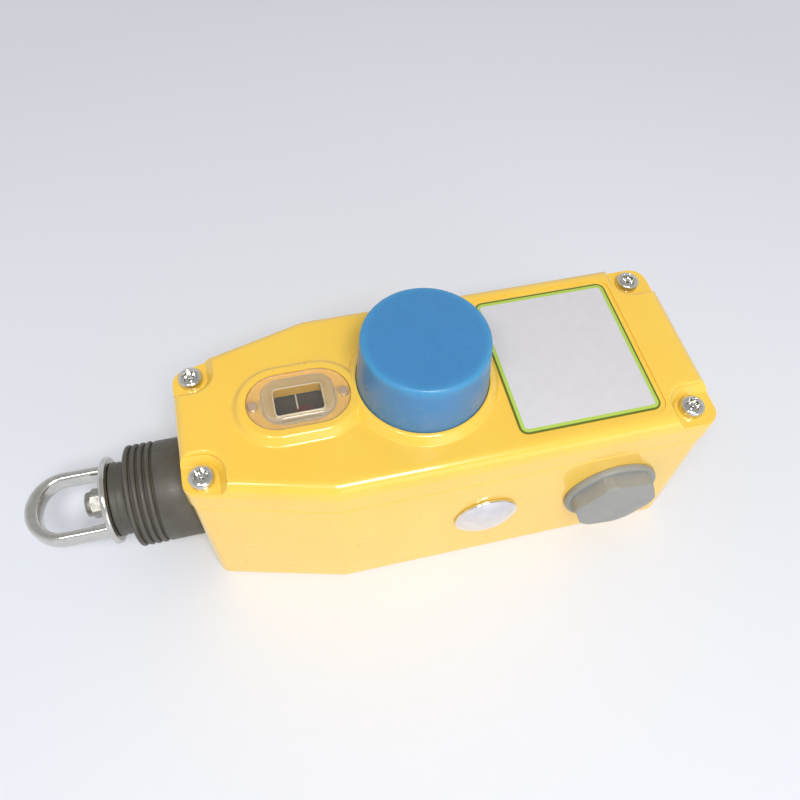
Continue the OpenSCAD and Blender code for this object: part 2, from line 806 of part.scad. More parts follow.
module window_pegs() {
    color("rosybrown")
    for (s = [-1, 1]) translate([window_x + s * peg_dx(), 0, ceiling_z + 1.1])
        cylinder(r = peg_r, h = pad_z - 0.05 - ceiling_z - 1.1, $fn = 24);
}

module label_plate() {
    color("gainsboro")
    translate([label_x, 0, panel_z - label_t - 0.05]) round_plate(label_l, label_w, label_corner, label_t);
}

// ---- rope end ----

// Gaiter: sleeve, ribs and neck, turned about the shaft
module gaiter() {
    in_r = sleeve_r - gaiter_t;
    groove_r = sleeve_r - rib_depth;
    color("darkslategray")
    along_x() rotate_extrude($fn = 64) polygon(concat(
        [[in_r, sleeve_x], [sleeve_r, sleeve_x], [sleeve_r, rib_x + 0.3]],
        [for (i = [0 : rib_n - 1]) for (p = [
            [groove_r, rib_x - 0.2], [groove_r, rib_x - 0.5],
            [sleeve_r, rib_x - 0.9], [sleeve_r + 0.2, rib_x - 1.4], [sleeve_r, rib_x - 1.9],
            [groove_r + 0.3, rib_x - rib_pitch + 0.1]])
            [p[0], p[1] - i * rib_pitch]],
        [[sleeve_r - 1.2, neck_x - 0.4], [neck_r + 0.4, neck_x - 0.8], [neck_r, neck_x - 1.2],
         [neck_r, gaiter_x + 1.4], [neck_r + 0.5, gaiter_x + 1], [neck_r + 0.5, gaiter_x + 0.3],
         [neck_r + 0.2, gaiter_x], [stud_r + run_gap, gaiter_x],
         [stud_r + run_gap, gaiter_x + gaiter_t], [neck_r - gaiter_t, gaiter_x + gaiter_t],
         [neck_r - gaiter_t, neck_x + 0.4], [in_r - rib_depth, neck_x + 1.6],
         [in_r - rib_depth, rib_x - 0.6], [in_r, rib_x + 1]]));
}

module gaiter_washer() {
    color("silver")
    translate([washer_x, 0, 0]) along_x() ring(washer_r, stud_r + fixed_gap, washer_t);
}

module swivel_spacer() {
    color("black")
    translate([spacer_x, 0, 0]) along_x() ring(spacer_r, stud_r + fixed_gap, spacer_t);
}

// Section of the bow: a rounded rectangle, given as a superellipse
function bow_section(thick, j) =
    let (a = 360 * j / bow_sides + 15, c = cos(a), s = sin(a))
    [thick / 2 * sign(c) * sqrt(abs(c)), bow_h / 2 * sign(s) * sqrt(abs(s))];

// Ring of the bow's section, out from its centre line by angle a about the crown's centre
function bow_ring(cx, cy, a, thick) = [
    for (j = [0 : bow_sides - 1])
        let (q = bow_section(thick, bow_sides - j), r = bow_half - thick / 2 + q[0])
        [cx + r * cos(a), cy + r * sin(a), axis_z + q[1]]];

module bow() {
    crown_x = eye_x - bow_reach + bow_half;
    legs_x = eye_x + 0.6;
    arc_steps = 14;
    skin(concat(
        [bow_ring(legs_x, 0, 90, leg_t), bow_ring((crown_x + legs_x) / 2, 0, 90, leg_t)],
        [for (k = [0 : arc_steps])
            let (a = 90 + 180 * k / arc_steps, thick = leg_t + (crown_t - leg_t) * pow(sin(a - 90), 2))
            bow_ring(crown_x, 0, a, thick)],
        [bow_ring((crown_x + legs_x) / 2, 0, 270, leg_t), bow_ring(legs_x, 0, 270, leg_t)]));
}

module pull_eye() {
    color("silver")
    union() {
        translate([eye_x, 0, 0]) along_x() rotate_extrude() polygon([
            [stud_r + run_gap, 0], [eye_r - 0.9, 0], [eye_r - 0.25, 0.25], [eye_r, 0.9],
            [eye_r, eye_t - 0.9], [eye_r - 0.25, eye_t - 0.25], [eye_r - 0.9, eye_t],
            [stud_r + run_gap, eye_t]]);
        bow();
    }
}

module eye_nut() {
    collar_end_r = nut_af / 2 - 0.2;
    end_h = nut_hex_h + nut_collar_h;
    color("silver")
    translate([nut_x, 0, axis_z]) rotate([0, -90, 0])
    difference() {
        union() {
            hexagon(nut_af, nut_hex_h);
            rotate_extrude() polygon([[0, 1], [collar_end_r, 1], [collar_end_r, end_h - 0.5],
                [collar_end_r - 0.6, end_h], [0, end_h]]);
        }
        translate([0, 0, -1]) cylinder(r = stud_r + fixed_gap, h = 20);
    }
}

module tension_shaft() {
    color("silver")
    difference() {
        along_x() rotate_extrude() polygon([
            [0, stud_tip_x], [stud_r - 0.5, stud_tip_x], [stud_r, stud_tip_x + 0.5], [stud_r, stud_x],
            [shaft_r - 0.5, stud_x], [shaft_r, stud_x + 0.5], [shaft_r, shaft_back - 0.8],
            [shaft_r - 0.8, shaft_back], [0, shaft_back]]);
        translate([collar_x + collar_l / 2, 0, 0]) cylinder(r = cross_pin_r + fixed_gap, h = 60);
        translate([cam_x + cam_l / 2, 0, 0]) cylinder(r = cross_pin_r + fixed_gap, h = 60);
    }
}

module shaft_bush() {
    wiper_x = nose_x + wiper_t;
    color("goldenrod")
    along_x() rotate_extrude() polygon([
        [shaft_r + run_gap, wiper_x], [bush_r, wiper_x], [bush_r, wall_in_x + 0.05],
        [bush_flange_r, wall_in_x + 0.05], [bush_flange_r, wall_in_x + bush_flange_t],
        [shaft_r + run_gap, wall_in_x + bush_flange_t]]);
}

module shaft_wiper() {
    color("black")
    along_x() rotate_extrude() polygon([
        [shaft_r + 0.8, nose_x], [bush_r, nose_x], [bush_r, nose_x + wiper_t - 0.05],
        [shaft_r + 0.8, nose_x + wiper_t - 0.05], [shaft_r + run_gap, nose_x + wiper_t / 2]]);
}

module main_spring() {
    front_x = wall_in_x + bush_flange_t + 0.1;
    color("silver")
    translate([front_x, 0, 0]) along_x()
    coil(main_coil_r, main_wire_r, main_turns, collar_x - 0.1 - front_x);
}

module spring_collar() {
    flat_up = arm_z - axis_z;
    color("silver")
    difference() {
        translate([collar_x, 0, 0]) along_x() ring(collar_r, shaft_r + fixed_gap, collar_l);
        translate([collar_x + collar_l / 2, 0, 0]) cylinder(r = cross_pin_r + fixed_gap, h = 60);
        translate([collar_x - 1, -20, axis_z + flat_up]) cube([collar_l + 2, 40, 10]);
    }
}

module collar_pin() {
    color("dimgray")
    translate([collar_x + collar_l / 2, 0, axis_z - collar_r + 1])
    cylinder(r = cross_pin_r, h = arm_z - axis_z + collar_r - 1.1, $fn = 24);
}

// Bent strip from the collar's flat to the window
module indicator_arm() {
    foot_end = collar_x + collar_l;
    foot_z = arm_z + 0.05;
    plate_z = flag_z - flag_t - 0.05;
    plate_end = window_x - 8;
    color("gray")
    difference() {
        translate([0, arm_w / 2, 0]) rotate([90, 0, 0]) linear_extrude(arm_w) polygon([
            [riser_x - arm_t, arm_z + soft_gap], [riser_x, arm_z + soft_gap],
            [collar_x - 0.5, arm_z + soft_gap], [collar_x, foot_z],
            [foot_end, foot_z], [foot_end, foot_z + arm_t], [riser_x, arm_z + arm_t + soft_gap],
            [riser_x, plate_z], [plate_end, plate_z],
            [plate_end, plate_z - arm_t], [riser_x - arm_t, plate_z - arm_t]]);
        translate([collar_x + collar_l / 2, 0, arm_z - 1]) cylinder(r = cross_pin_r + fixed_gap, h = 10);
    }
}

module indicator_flag() {
    color("dimgray")
    translate([window_x - 0.4, 0, flag_z - flag_t]) round_plate(flag_l, flag_w, 1.5, flag_t);
}

module wedge_cam() {
    front = cam_front;
    back = cam_front + cam_slope * cam_l;
    color("slategray")
    difference() {
        translate([cam_x, 0, axis_z - cam_up]) linear_extrude(2 * cam_up)
            polygon([[0, -front], [cam_l, -back], [cam_l, back], [0, front]]);
        translate([cam_x - 1, 0, 0]) along_x() cylinder(r = shaft_r + fixed_gap, h = cam_l + 2);
        translate([cam_x + cam_l / 2, 0, 0]) cylinder(r = cross_pin_r + fixed_gap, h = 60);
    }
}

module cam_pin() {
    color("dimgray")
    translate([cam_x + cam_l / 2, 0, axis_z - cam_up + 0.5])
    cylinder(r = cross_pin_r, h = 2 * cam_up - 1, $fn = 24);
}

// ---- mechanism frame ----

// Bent sheet: floor plate, two latch cheeks and the rear guide's tab
module chassis() {
    cheek_top = pivot_z + 4;
    tab_top = axis_z + 12;
    low_z = chassis_z - chassis_t;
    color("lightsteelblue")
    difference() {
        union() {
            translate([chassis_x0, -cheek_in - cheek_t, low_z])
                cube([chassis_x1 - chassis_x0, 2 * (cheek_in + cheek_t), chassis_t]);
            translate([block_x - 1, -block_in - block_d, low_z])
                cube([block_l + 0.5, 2 * (block_in + block_d), chassis_t]);
            for (p = chassis_screws_at)
                translate([p[0] - 2.8, p[1] < 0 ? p[1] - 3.4 : 0, low_z])
                    cube([5.6, abs(p[1]) + 3.4, chassis_t]);
            for (s = [-1, 1]) translate([0, s > 0 ? cheek_in : -cheek_in - cheek_t, 0])
                translate([0, cheek_t, 0]) rotate([90, 0, 0]) linear_extrude(cheek_t)
                    polygon([[pivot_x - 12, low_z], [pivot_x + 4, low_z], [pivot_x + 4, pivot_z],
                        [pivot_x + 2.5, cheek_top], [pivot_x - 2.5, cheek_top], [pivot_x - 12, low_z + 22]]);
            translate([rear_tab_x, -11, low_z]) cube([chassis_t, 22, tab_top - low_z - 6]);
            translate([rear_tab_x, 0, 0]) along_x() cylinder(r = 11, h = chassis_t);
        }
        translate([pivot_x, 0, pivot_z]) rotate([90, 0, 0])
            translate([0, 0, -20]) cylinder(r = pivot_r + fixed_gap, h = 40);
        translate([rear_tab_x - 1, 0, 0]) along_x() cylinder(r = shaft_r + 1.5 + fixed_gap, h = 5);
        for (p = chassis_screws_at) translate([p[0], p[1], 0]) cylinder(r = 1.5 + hole_gap, h = 20);
        for (s = [-1, 1], d = [-1, 1])
            translate([plunger_x + d * block_screw_dx, s * (block_in + block_d / 2), 0])
                cylinder(r = 1.5 + hole_gap, h = 20);
    }
}

module chassis_screws() {
    color("silver")
    for (p = chassis_screws_at) translate([p[0], p[1], chassis_z]) slot_screw(2.75, 2, 1.5, 7);
}

module rear_guide() {
    color("goldenrod")
    translate([rear_tab_x - 0.05, 0, 0]) along_x() difference() {
        union() {
            cylinder(r = shaft_r + 1.5, h = chassis_t + 1);
            translate([0, 0, chassis_t + 0.1]) cylinder(r = shaft_r + 3, h = 1.4);
        }
        translate([0, 0, -1]) cylinder(r = shaft_r + run_gap, h = 10);
    }
}

// Rocker: tail under the button's stem, nose over the wedge cam
module latch_lever() {
    tail_x = button_x - 4;
    nose_low = axis_z + cam_up + soft_gap;
    color("silver")
    difference() {
        union() {
            translate([0, lever_w / 2, 0]) rotate([90, 0, 0]) linear_extrude(lever_w) polygon([
                [tail_x, pivot_z - 1.5], [pivot_x, pivot_z - 3], [cam_x - 4.5, pivot_z - 2],
                [cam_x - 4.5, nose_low + 1], [cam_x - 3.5, nose_low], [cam_x - 1, nose_low],
                [cam_x - 1, pivot_z + 2], [tail_x, pivot_z + 2]]);
            translate([pivot_x, cheek_in - soft_gap, pivot_z]) rotate([90, 0, 0])
                cylinder(r = lever_hub_r, h = cheek_in - soft_gap + lever_w / 2);
        }
        translate([pivot_x, 30, pivot_z]) rotate([90, 0, 0]) cylinder(r = pivot_r + run_gap, h = 60);
    }
}

module latch_pivot() {
    reach = cheek_in + cheek_t + 1.2;
    color("dimgray")
    translate([pivot_x, reach, pivot_z]) rotate([90, 0, 0]) cylinder(r = pivot_r, h = 2 * reach, $fn = 32);
}

module pivot_clips() {
    color("silver")
    for (s = [-1, 1])
        translate([pivot_x, s * (cheek_in + cheek_t + 0.1 + clip_t / 2) + clip_t / 2, pivot_z])
            rotate([90, 0, 0]) ring(pivot_r + 1.4, pivot_r + fixed_gap, clip_t);
}

module latch_spring() {
    wire_r = 0.45;
    room = cheek_in - lever_w / 2 - 0.4;
    color("silver")
    translate([pivot_x, -lever_w / 2 - 0.2, pivot_z]) rotate([90, 0, 0])
    coil(pivot_r + 0.3 + wire_r, wire_r, 4, room);
}

// ---- contacts ----

// Contact block on one side (1 rear, -1 front): body, plunger bore and terminal troughs
module contact_block(side) {
    mid_y = block_in + block_d / 2;
    color("darkgray")
    scale_side(side) difference() {
        translate([block_x, block_in, chassis_z]) cube([block_l, block_d, block_h]);
        for (d = [-1, 1]) {
            translate([plunger_x + d * block_screw_dx, mid_y, chassis_z - 1])
                cylinder(r = 1.5 + hole_gap, h = block_h + 2);
            translate([plunger_x + d * 5 - 2.8, block_in - 1, chassis_z + block_h - 6])
                cube([5.6, 4.6, 7]);
            translate([plunger_x + d * 5 - 2.8, block_in + block_d - 3.6, chassis_z + block_h - 6])
                cube([5.6, 4.6, 7]);
            for (y = [terminal_in, block_d - terminal_in])
                translate([plunger_x + d * 5, block_in + y, chassis_z + block_h - 10])
                    cylinder(r = 1.1, h = 5);
        }
        translate([plunger_x, block_in - 1, axis_z]) rotate([-90, 0, 0])
            cylinder(r = plunger_r + run_gap, h = block_d - 1);
    }
}

// Mirrors a shape drawn for the rear side
module scale_side(side) {
    if (side > 0) children();
    else mirror([0, 1, 0]) children();
}

module contact_block_left() {
    contact_block(1);
}

module contact_block_right() {
    contact_block(-1);
}

module contact_plunger(side) {
    stem = 4.5;
    color("white")
    scale_side(side) translate([plunger_x, plunger_ball_y, axis_z]) rotate([-90, 0, 0])
    rotate_extrude($fn = 32) polygon(concat(
        [for (k = [0 : 6]) [plunger_r * sin(15 * k), -plunger_r * cos(15 * k)]],
        [[plunger_r, stem], [0, stem]]));
}

module contact_plunger_left() {
    contact_plunger(1);
}

module contact_plunger_right() {
    contact_plunger(-1);
}

module block_screws() {
    color("silver")
    for (s = [-1, 1], d = [-1, 1])
        translate([plunger_x + d * block_screw_dx, s * (block_in + block_d / 2), chassis_z + block_h])
            slot_screw(2.6, 2, 1.5, block_h + chassis_t - 0.2);
}

module terminal_screws() {
    top_z = chassis_z + block_h - 6;
    color("silver")
    for (s = [-1, 1], d = [-1, 1], in_y = [terminal_in, block_d - terminal_in])
        translate([plunger_x + d * 5, s * (block_in + in_y), top_z])
            slot_screw(1.6, 1.8, 1, 3.5);
}

module earth_screw() {
    color("goldenrod")
    translate([earth_x, 0, 8.05]) slot_screw(3.5, 2.4, 2, 6);
}

// ---- plugs ----

// Hexagonal blanking plug, flange on the wall, thread inwards
module conduit_plug() {
    end_h = plug_flange_t + plug_hex_h;
    difference() {
        union() {
            translate([0, 0, 0.05]) rotate_extrude() polygon([[0, 0], [plug_flange_r, 0],
                [plug_flange_r, plug_flange_t * 0.5], [plug_flange_r - 0.7, plug_flange_t],
                [0, plug_flange_t]]);
            intersection() {
                rotate([0, 0, -10]) hexagon(plug_af, end_h);
                rotate_extrude() polygon([[0, 0], [plug_flange_r, 0], [plug_flange_r, end_h - 1.2],
                    [plug_af / 2 + 0.9, end_h], [0, end_h]]);
            }
            translate([0, 0, -entry_l]) cylinder(r = entry_r - 0.1, h = entry_l + 0.1);
        }
        translate([0, 0, -entry_l - 1]) cylinder(r = entry_r - 2.5, h = entry_l);
        translate([0, 0, 0.05 - eps])
            ring(plug_seal_r + 2 * seal_wire_r, plug_seal_r - 0.1, 1.6 * seal_wire_r);
    }
}

module conduit_plug_front() {
    color("gray") through_side(entry_x, -1) conduit_plug();
}

module conduit_plug_rear() {
    color("gray") through_side(entry_x, 1) conduit_plug();
}

module plug_seals() {
    color("black")
    for (side = [-1, 1]) through_side(entry_x, side) translate([0, 0, 0.06])
        ring(plug_seal_r + 2 * seal_wire_r - 0.1, plug_seal_r, 1.6 * seal_wire_r - 0.1);
}

module dome_plug() {
    ball_r = (dome_r * dome_r + dome_h * dome_h) / (2 * dome_h);
    half_deg = asin(dome_r / ball_r);
    color("silver")
    through_side(dome_x, -1) rotate_extrude($fn = 64) polygon(concat(
        [[0, -wall - dome_nut_t - 0.4], [dome_thread_r, -wall - dome_nut_t - 0.4], [dome_thread_r, 0.05],
         [dome_r - 0.4, 0.05], [dome_r, 0.4]],
        [for (k = [0 : 9]) let (a = half_deg * (1 - k / 9))
            [ball_r * sin(a), 0.6 + dome_h - ball_r * (1 - cos(a))]]));
}

module dome_nut() {
    color("silver")
    through_side(dome_x, -1) translate([0, 0, -wall - dome_nut_t - 0.1]) difference() {
        hexagon(2 * dome_thread_r + 4.2, dome_nut_t);
        translate([0, 0, -1]) cylinder(r = dome_thread_r + fixed_gap, h = 10);
    }
}

housing_base();
lid();
lid_gasket();
lid_screws();
reset_button();
button_stem();
button_bush();
button_spring();
stem_seal();
stem_clip();
window_lens();
window_gasket();
window_pegs();
label_plate();
gaiter();
gaiter_washer();
swivel_spacer();
pull_eye();
eye_nut();
tension_shaft();
shaft_bush();
shaft_wiper();
main_spring();
spring_collar();
collar_pin();
indicator_arm();
indicator_flag();
wedge_cam();
cam_pin();
rear_guide();
chassis();
chassis_screws();
latch_lever();
latch_pivot();
pivot_clips();
latch_spring();
contact_block_left();
contact_block_right();
contact_plunger_left();
contact_plunger_right();
block_screws();
terminal_screws();
earth_screw();
conduit_plug_front();
conduit_plug_rear();
plug_seals();
dome_plug();
dome_nut();
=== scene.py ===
"""Looks of a rope pull switch: a cast and painted housing, a sprung pull eye, a reset button
and two contact blocks.

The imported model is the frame. Each sub-assembly is a class that holds its sizes in millimetres,
builds the pieces that need a finer shape than the frame's solids, and dresses the others.
X runs from the rope end to the cable end, Z from the mounting back to the lid.
"""

from __future__ import annotations

import logging
import math
from dataclasses import dataclass, field
from enum import Enum
from functools import partial
from typing import Callable, Iterable, Sequence

import bmesh
import bpy
from mathutils import Matrix, Vector

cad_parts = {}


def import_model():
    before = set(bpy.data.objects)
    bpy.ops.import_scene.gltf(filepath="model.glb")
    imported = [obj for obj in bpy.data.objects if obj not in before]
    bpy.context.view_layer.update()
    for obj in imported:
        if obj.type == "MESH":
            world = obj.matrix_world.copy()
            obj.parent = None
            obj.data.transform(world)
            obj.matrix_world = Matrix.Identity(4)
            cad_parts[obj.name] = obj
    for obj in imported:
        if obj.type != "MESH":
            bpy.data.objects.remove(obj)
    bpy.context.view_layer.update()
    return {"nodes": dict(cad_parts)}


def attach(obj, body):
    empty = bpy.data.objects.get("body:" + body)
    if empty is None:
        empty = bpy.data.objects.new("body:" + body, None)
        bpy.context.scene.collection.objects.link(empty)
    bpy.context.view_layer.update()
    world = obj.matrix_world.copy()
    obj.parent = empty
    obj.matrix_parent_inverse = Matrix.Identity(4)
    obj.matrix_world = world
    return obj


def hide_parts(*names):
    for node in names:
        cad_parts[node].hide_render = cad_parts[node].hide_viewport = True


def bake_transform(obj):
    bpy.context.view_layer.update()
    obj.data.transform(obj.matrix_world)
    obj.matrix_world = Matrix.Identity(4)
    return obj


LOG = logging.getLogger("rope_pull_switch")
MM = 0.001
Point = tuple[float, float, float]
Flat = tuple[float, float]
Piece = bpy.types.Object
Tree = bpy.types.NodeTree
Node = bpy.types.Node
Socket = bpy.types.NodeSocket
Inputs = dict[str | int, object]


class Body(Enum):
    """Bodies of the frame that a piece can ride on."""

    HOUSING = "housing"
    SHAFT = "shaft"
    EYE = "eye"
    BUTTON = "button"


class Heading(Enum):
    """Ways in which a turned piece can point, as (angle in degrees, turning axis)."""

    UP = (0.0, "X")
    ROPE = (-90.0, "Y")
    CABLE = (90.0, "Y")
    FRONT = (90.0, "X")
    REAR = (-90.0, "X")

    def at(self, x: float, y: float = 0.0, z: float = 0.0) -> Matrix:
        """Place of a piece drawn along Z that starts at a point given in millimetres."""
        angle, axis = self.value
        return Matrix.Translation(Vector((x, y, z)) * MM) @ Matrix.Rotation(math.radians(angle), 4, axis)


class Cut(Enum):
    """What a boolean step does with its tool."""

    REMOVE = "DIFFERENCE"
    ADD = "UNION"
    KEEP = "INTERSECT"


# ---- meshes ----


def column(x: float) -> Matrix:
    """Place of an upright piece on the housing's middle line."""
    return Matrix.Translation((x * MM, 0, 0))


def add_object(name: str, mesh: bpy.types.Mesh) -> Piece:
    """Links a new object for a mesh.

    Args:
        name: Name of the object.
        mesh: Its mesh, in metres.

    Returns:
        The object, at the origin.
    """
    obj = bpy.data.objects.new(name, mesh)
    bpy.context.scene.collection.objects.link(obj)
    return obj


def from_faces(name: str, points: Sequence[Point], faces: Sequence[Sequence[int]],
               place: Matrix | None = None) -> Piece:
    """Makes an object from points in millimetres, with its faces turned outwards.

    Args:
        name: Name of the object.
        points: Corners in millimetres.
        faces: Corner numbers of each face.
        place: Where the piece goes, after the change to metres.

    Returns:
        The new object.
    """
    mesh = bpy.data.meshes.new(name)
    mesh.from_pydata([Vector(p) * MM for p in points], [], faces)
    if place is not None:
        mesh.transform(place)
    work = bmesh.new()
    work.from_mesh(mesh)
    bmesh.ops.remove_doubles(work, verts=work.verts, dist=1e-7)
    bmesh.ops.recalc_face_normals(work, faces=work.faces)
    work.to_mesh(mesh)
    work.free()
    return add_object(name, mesh)


def lofted(name: str, rings: Sequence[Sequence[Point]], place: Matrix | None = None,
           hoop: bool = False) -> Piece:
    """Makes a closed skin through rings with the same number of points.

    Args:
        name: Name of the object.
        rings: Rings of points in millimetres, in order.
        place: Where the piece goes.
        hoop: Joins the last ring to the first instead of closing both ends.

    Returns:
        The new object.
    """
    count = len(rings[0])
    points = [p for ring in rings for p in ring]
    last = len(rings) if hoop else len(rings) - 1
    faces: list[list[int]] = []
    for i in range(last):
        low, high = i * count, (i + 1) % len(rings) * count
        faces += [[low + j, low + (j + 1) % count, high + (j + 1) % count, high + j] for j in range(count)]
    if not hoop:
        faces.append(list(range(count))[::-1])
        faces.append([(len(rings) - 1) * count + j for j in range(count)])
    return from_faces(name, points, faces, place)


def turned(name: str, profile: Sequence[Flat], place: Matrix | None = None,
           steps: int = 96) -> Piece:
    """Turns a closed profile about Z.

    Args:
        name: Name of the object.
        profile: Closed outline as (radius, height) in millimetres; radius 0 is on the axis.
        place: Where the piece goes.
        steps: Steps round the axis.

    Returns:
        The new object.
    """
    points: list[Point] = []
    index: list[list[int]] = []
    for radius, height in profile:
        if radius < 1e-6:
            index.append([len(points)] * steps)
            points.append((0.0, 0.0, height))
            continue
        index.append(list(range(len(points), len(points) + steps)))
        points += [(radius * math.cos(math.tau * k / steps), radius * math.sin(math.tau * k / steps), height)
                   for k in range(steps)]
    faces: list[list[int]] = []
    for i, row in enumerate(index):
        following = index[(i + 1) % len(index)]
        if row[0] == row[1] and following[0] == following[1]:
            continue
        for k in range(steps):
            corners = [row[k], row[(k + 1) % steps], following[(k + 1) % steps], following[k]]
            faces.append(list(dict.fromkeys(corners)))
    return from_faces(name, points, faces, place)


def rounded(profile: Sequence[Flat], radius: float, steps: int = 4) -> list[Flat]:
    """Rounds the corners of a closed outline.

    Args:
        profile: Corners of the outline.
        radius: Largest radius; a corner on the axis stays sharp.
        steps: Steps in each rounding.

    Returns:
        The outline with its corners rounded.
    """
    result: list[Flat] = []
    count = len(profile)
    for i, corner in enumerate(profile):
        here = Vector(corner)
        to_last = Vector(profile[i - 1]) - here
        to_next = Vector(profile[(i + 1) % count]) - here
        if corner[0] < 1e-6 or radius <= 0:
            result.append(corner)
            continue
        half = to_last.angle(to_next) / 2
        if half > math.radians(82):
            result.append(corner)
            continue
        reach = min(radius / math.tan(half), to_last.length * 0.48, to_next.length * 0.48)
        size = reach * math.tan(half)
        centre = here + (to_last.normalized() + to_next.normalized()).normalized() * size / math.sin(half)
        start = here + to_last.normalized() * reach - centre
        end = here + to_next.normalized() * reach - centre
        sweep = start.angle_signed(end)
        for k in range(steps + 1):
            turn = -sweep * k / steps
            c, s = math.cos(turn), math.sin(turn)
            result.append((centre.x + start.x * c - start.y * s, centre.y + start.x * s + start.y * c))
    return result


def prism(name: str, outline: Sequence[Flat], low: float, high: float,
          place: Matrix | None = None) -> Piece:
    """Makes a straight prism over a flat outline between two heights, in millimetres."""
    return lofted(name, [[(x, y, z) for x, y in outline] for z in (low, high)], place)


def disc(radius: float, steps: int = 64, centre: Flat = (0.0, 0.0)) -> list[Flat]:
    """Points of a circle, anticlockwise."""
    x, y = centre
    return [(x + radius * math.cos(math.tau * k / steps), y + radius * math.sin(math.tau * k / steps))
            for k in range(steps)]


def rod(name: str, radius: float, low: float, high: float, steps: int = 32, centre: Flat = (0.0, 0.0),
        place: Matrix | None = None) -> Piece:
    """Makes an upright cylinder between two heights, in millimetres."""
    return prism(name, disc(radius, steps, centre), low, high, place)


def hexagon(flats: float, turn: float = 0.0) -> list[Flat]:
    """Points of a hexagon by its width across flats, turned by an angle in degrees."""
    corner = flats / math.sqrt(3)
    angles = [math.radians(60 * k + turn) for k in range(6)]
    return [(corner * math.cos(a), corner * math.sin(a)) for a in angles]


def round_over(inset: float, top: float, radius: float, quarter: Iterable[float]) -> list[Flat]:
    """Quarter round from a wall up to a level top.

    Args:
        inset: Inset of the wall.
        top: Height of the top.
        radius: Radius of the rounding.
        quarter: Turns from 0 to a right angle.

    Returns:
        The points as (inset, height).
    """
    return [(inset + radius * (1 - math.cos(a)), top - radius * (1 - math.sin(a))) for a in quarter]


def obround(length: float, width: float, inset: float = 0.0, steps: int = 24) -> list[Flat]:
    """Points of a slot shape along X, anticlockwise.

    Args:
        length: Whole length.
        width: Whole width.
        inset: How far the outline moves in.
        steps: Number of steps round each end.

    Returns:
        The points of the outline.
    """
    length, width = length - 2 * inset, width - 2 * inset
    half, radius = (length - width) / 2, width / 2
    right = [(half + radius * math.cos(a), radius * math.sin(a))
             for a in (math.pi * (k / steps - 0.5) for k in range(steps + 1))]
    return right + [(-x, -y) for x, y in right]


def rounded_rectangle(length: float, width: float, radius: float, steps: int = 8) -> list[Flat]:
    """Points of a rectangle with round corners, anticlockwise.

    Args:
        length: Size along X.
        width: Size along Y.
        radius: Radius of the corners.
        steps: Number of steps round each corner.

    Returns:
        The points of the outline.
    """
    half_l, half_w = length / 2 - radius, width / 2 - radius
    return [(sx * half_l + radius * math.cos(a), sy * half_w + radius * math.sin(a))
            for sx, sy, start in ((1, -1, -90), (1, 1, 0), (-1, 1, 90), (-1, -1, 180))
            for a in (math.radians(start + 90 * k / steps) for k in range(steps + 1))]


def shifted(outline: Iterable[Flat], x: float) -> list[Flat]:
    """Moves a flat outline along X."""
    return [(px + x, py) for px, py in outline]


def even_turns(steps: int, sweep: float = 90.0) -> list[float]:
    """Even turns from 0 to a sweep in degrees, given in radians."""
    return [math.radians(sweep * k / steps) for k in range(steps + 1)]


def stacked(name: str, outline: Callable[[float], Sequence[Flat]], levels: Iterable[Flat], x: float) -> Piece:
    """Makes a solid through an outline at several levels.

    Args:
        name: Name of the object.
        outline: Gives the outline's points for an inset in millimetres.
        levels: The (inset, height) of each level.
        x: Where the outline's middle is along X.

    Returns:
        The new object.
    """
    return lofted(name, [[(px, py, z) for px, py in shifted(outline(inset), x)] for inset, z in levels])


def settle(obj: Piece) -> Piece:
    """Turns an object's live modifiers into plain mesh.

    Args:
        obj: Piece with its modifiers.

    Returns:
        The same piece.
    """
    graph = bpy.context.evaluated_depsgraph_get()
    mesh = bpy.data.meshes.new_from_object(obj.evaluated_get(graph))
    old = obj.data
    obj.modifiers.clear()
    obj.data = mesh
    bpy.data.meshes.remove(old)
    return obj


def discard(obj: Piece) -> None:
    """Removes an object and its mesh."""
    mesh = obj.data
    bpy.data.objects.remove(obj)
    bpy.data.meshes.remove(mesh)


def carve(obj: Piece, cut: Cut, *tools: Piece) -> Piece:
    """Adds solids to an object, or cuts them out of it, one after another.

    Args:
        obj: The object that changes.
        cut: What each step does.
        tools: The solids; they are removed afterwards.

    Returns:
        The changed object.
    """
    for tool in tools:
        step = obj.modifiers.new("carve", "BOOLEAN")
        step.operation = cut.value
        step.object = tool
        step.solver = "EXACT"
        settle(obj)
        discard(tool)
    return obj


def smooth(obj: Piece, edge: float = 0.0, steps: int = 3, angle: float = 35.0,
           flat: bool = False) -> Piece:
    """Rounds an object's sharp edges and shades it smooth.

    Args:
        obj: The object that changes.
        edge: Size of the rounding in millimetres; 0 leaves the edges sharp.
        steps: Steps in each rounding.
        angle: Smallest edge angle, in degrees, that counts as sharp.
        flat: Keeps large flat faces flat in their shading.

    Returns:
        The changed object.
    """
    mesh = obj.data
    mesh.polygons.foreach_set("use_smooth", [True] * len(mesh.polygons))
    if edge > 0:
        bevel = obj.modifiers.new("round_edges", "BEVEL")
        bevel.width = edge * MM
        bevel.segments = steps
        bevel.limit_method = "ANGLE"
        bevel.angle_limit = math.radians(angle)
        bevel.miter_outer = "MITER_ARC"
        bevel.use_clamp_overlap = True
        settle(obj)
    else:
        mesh.set_sharp_from_angle(angle=math.radians(angle))
    if edge > 0 or flat:
        weighted = obj.modifiers.new("flat_faces", "WEIGHTED_NORMAL")
        weighted.weight = 80
        weighted.keep_sharp = True
        settle(obj)
    return obj


# ---- materials ----


def linear(code: str) -> tuple[float, float, float, float]:
    """Turns an sRGB hex colour into the linear values that the shaders use."""
    channels = [int(code[i:i + 2], 16) / 255 for i in (1, 3, 5)]
    r, g, b = (c / 12.92 if c <= 0.04045 else ((c + 0.055) / 1.055) ** 2.4 for c in channels)
    return r, g, b, 1.0


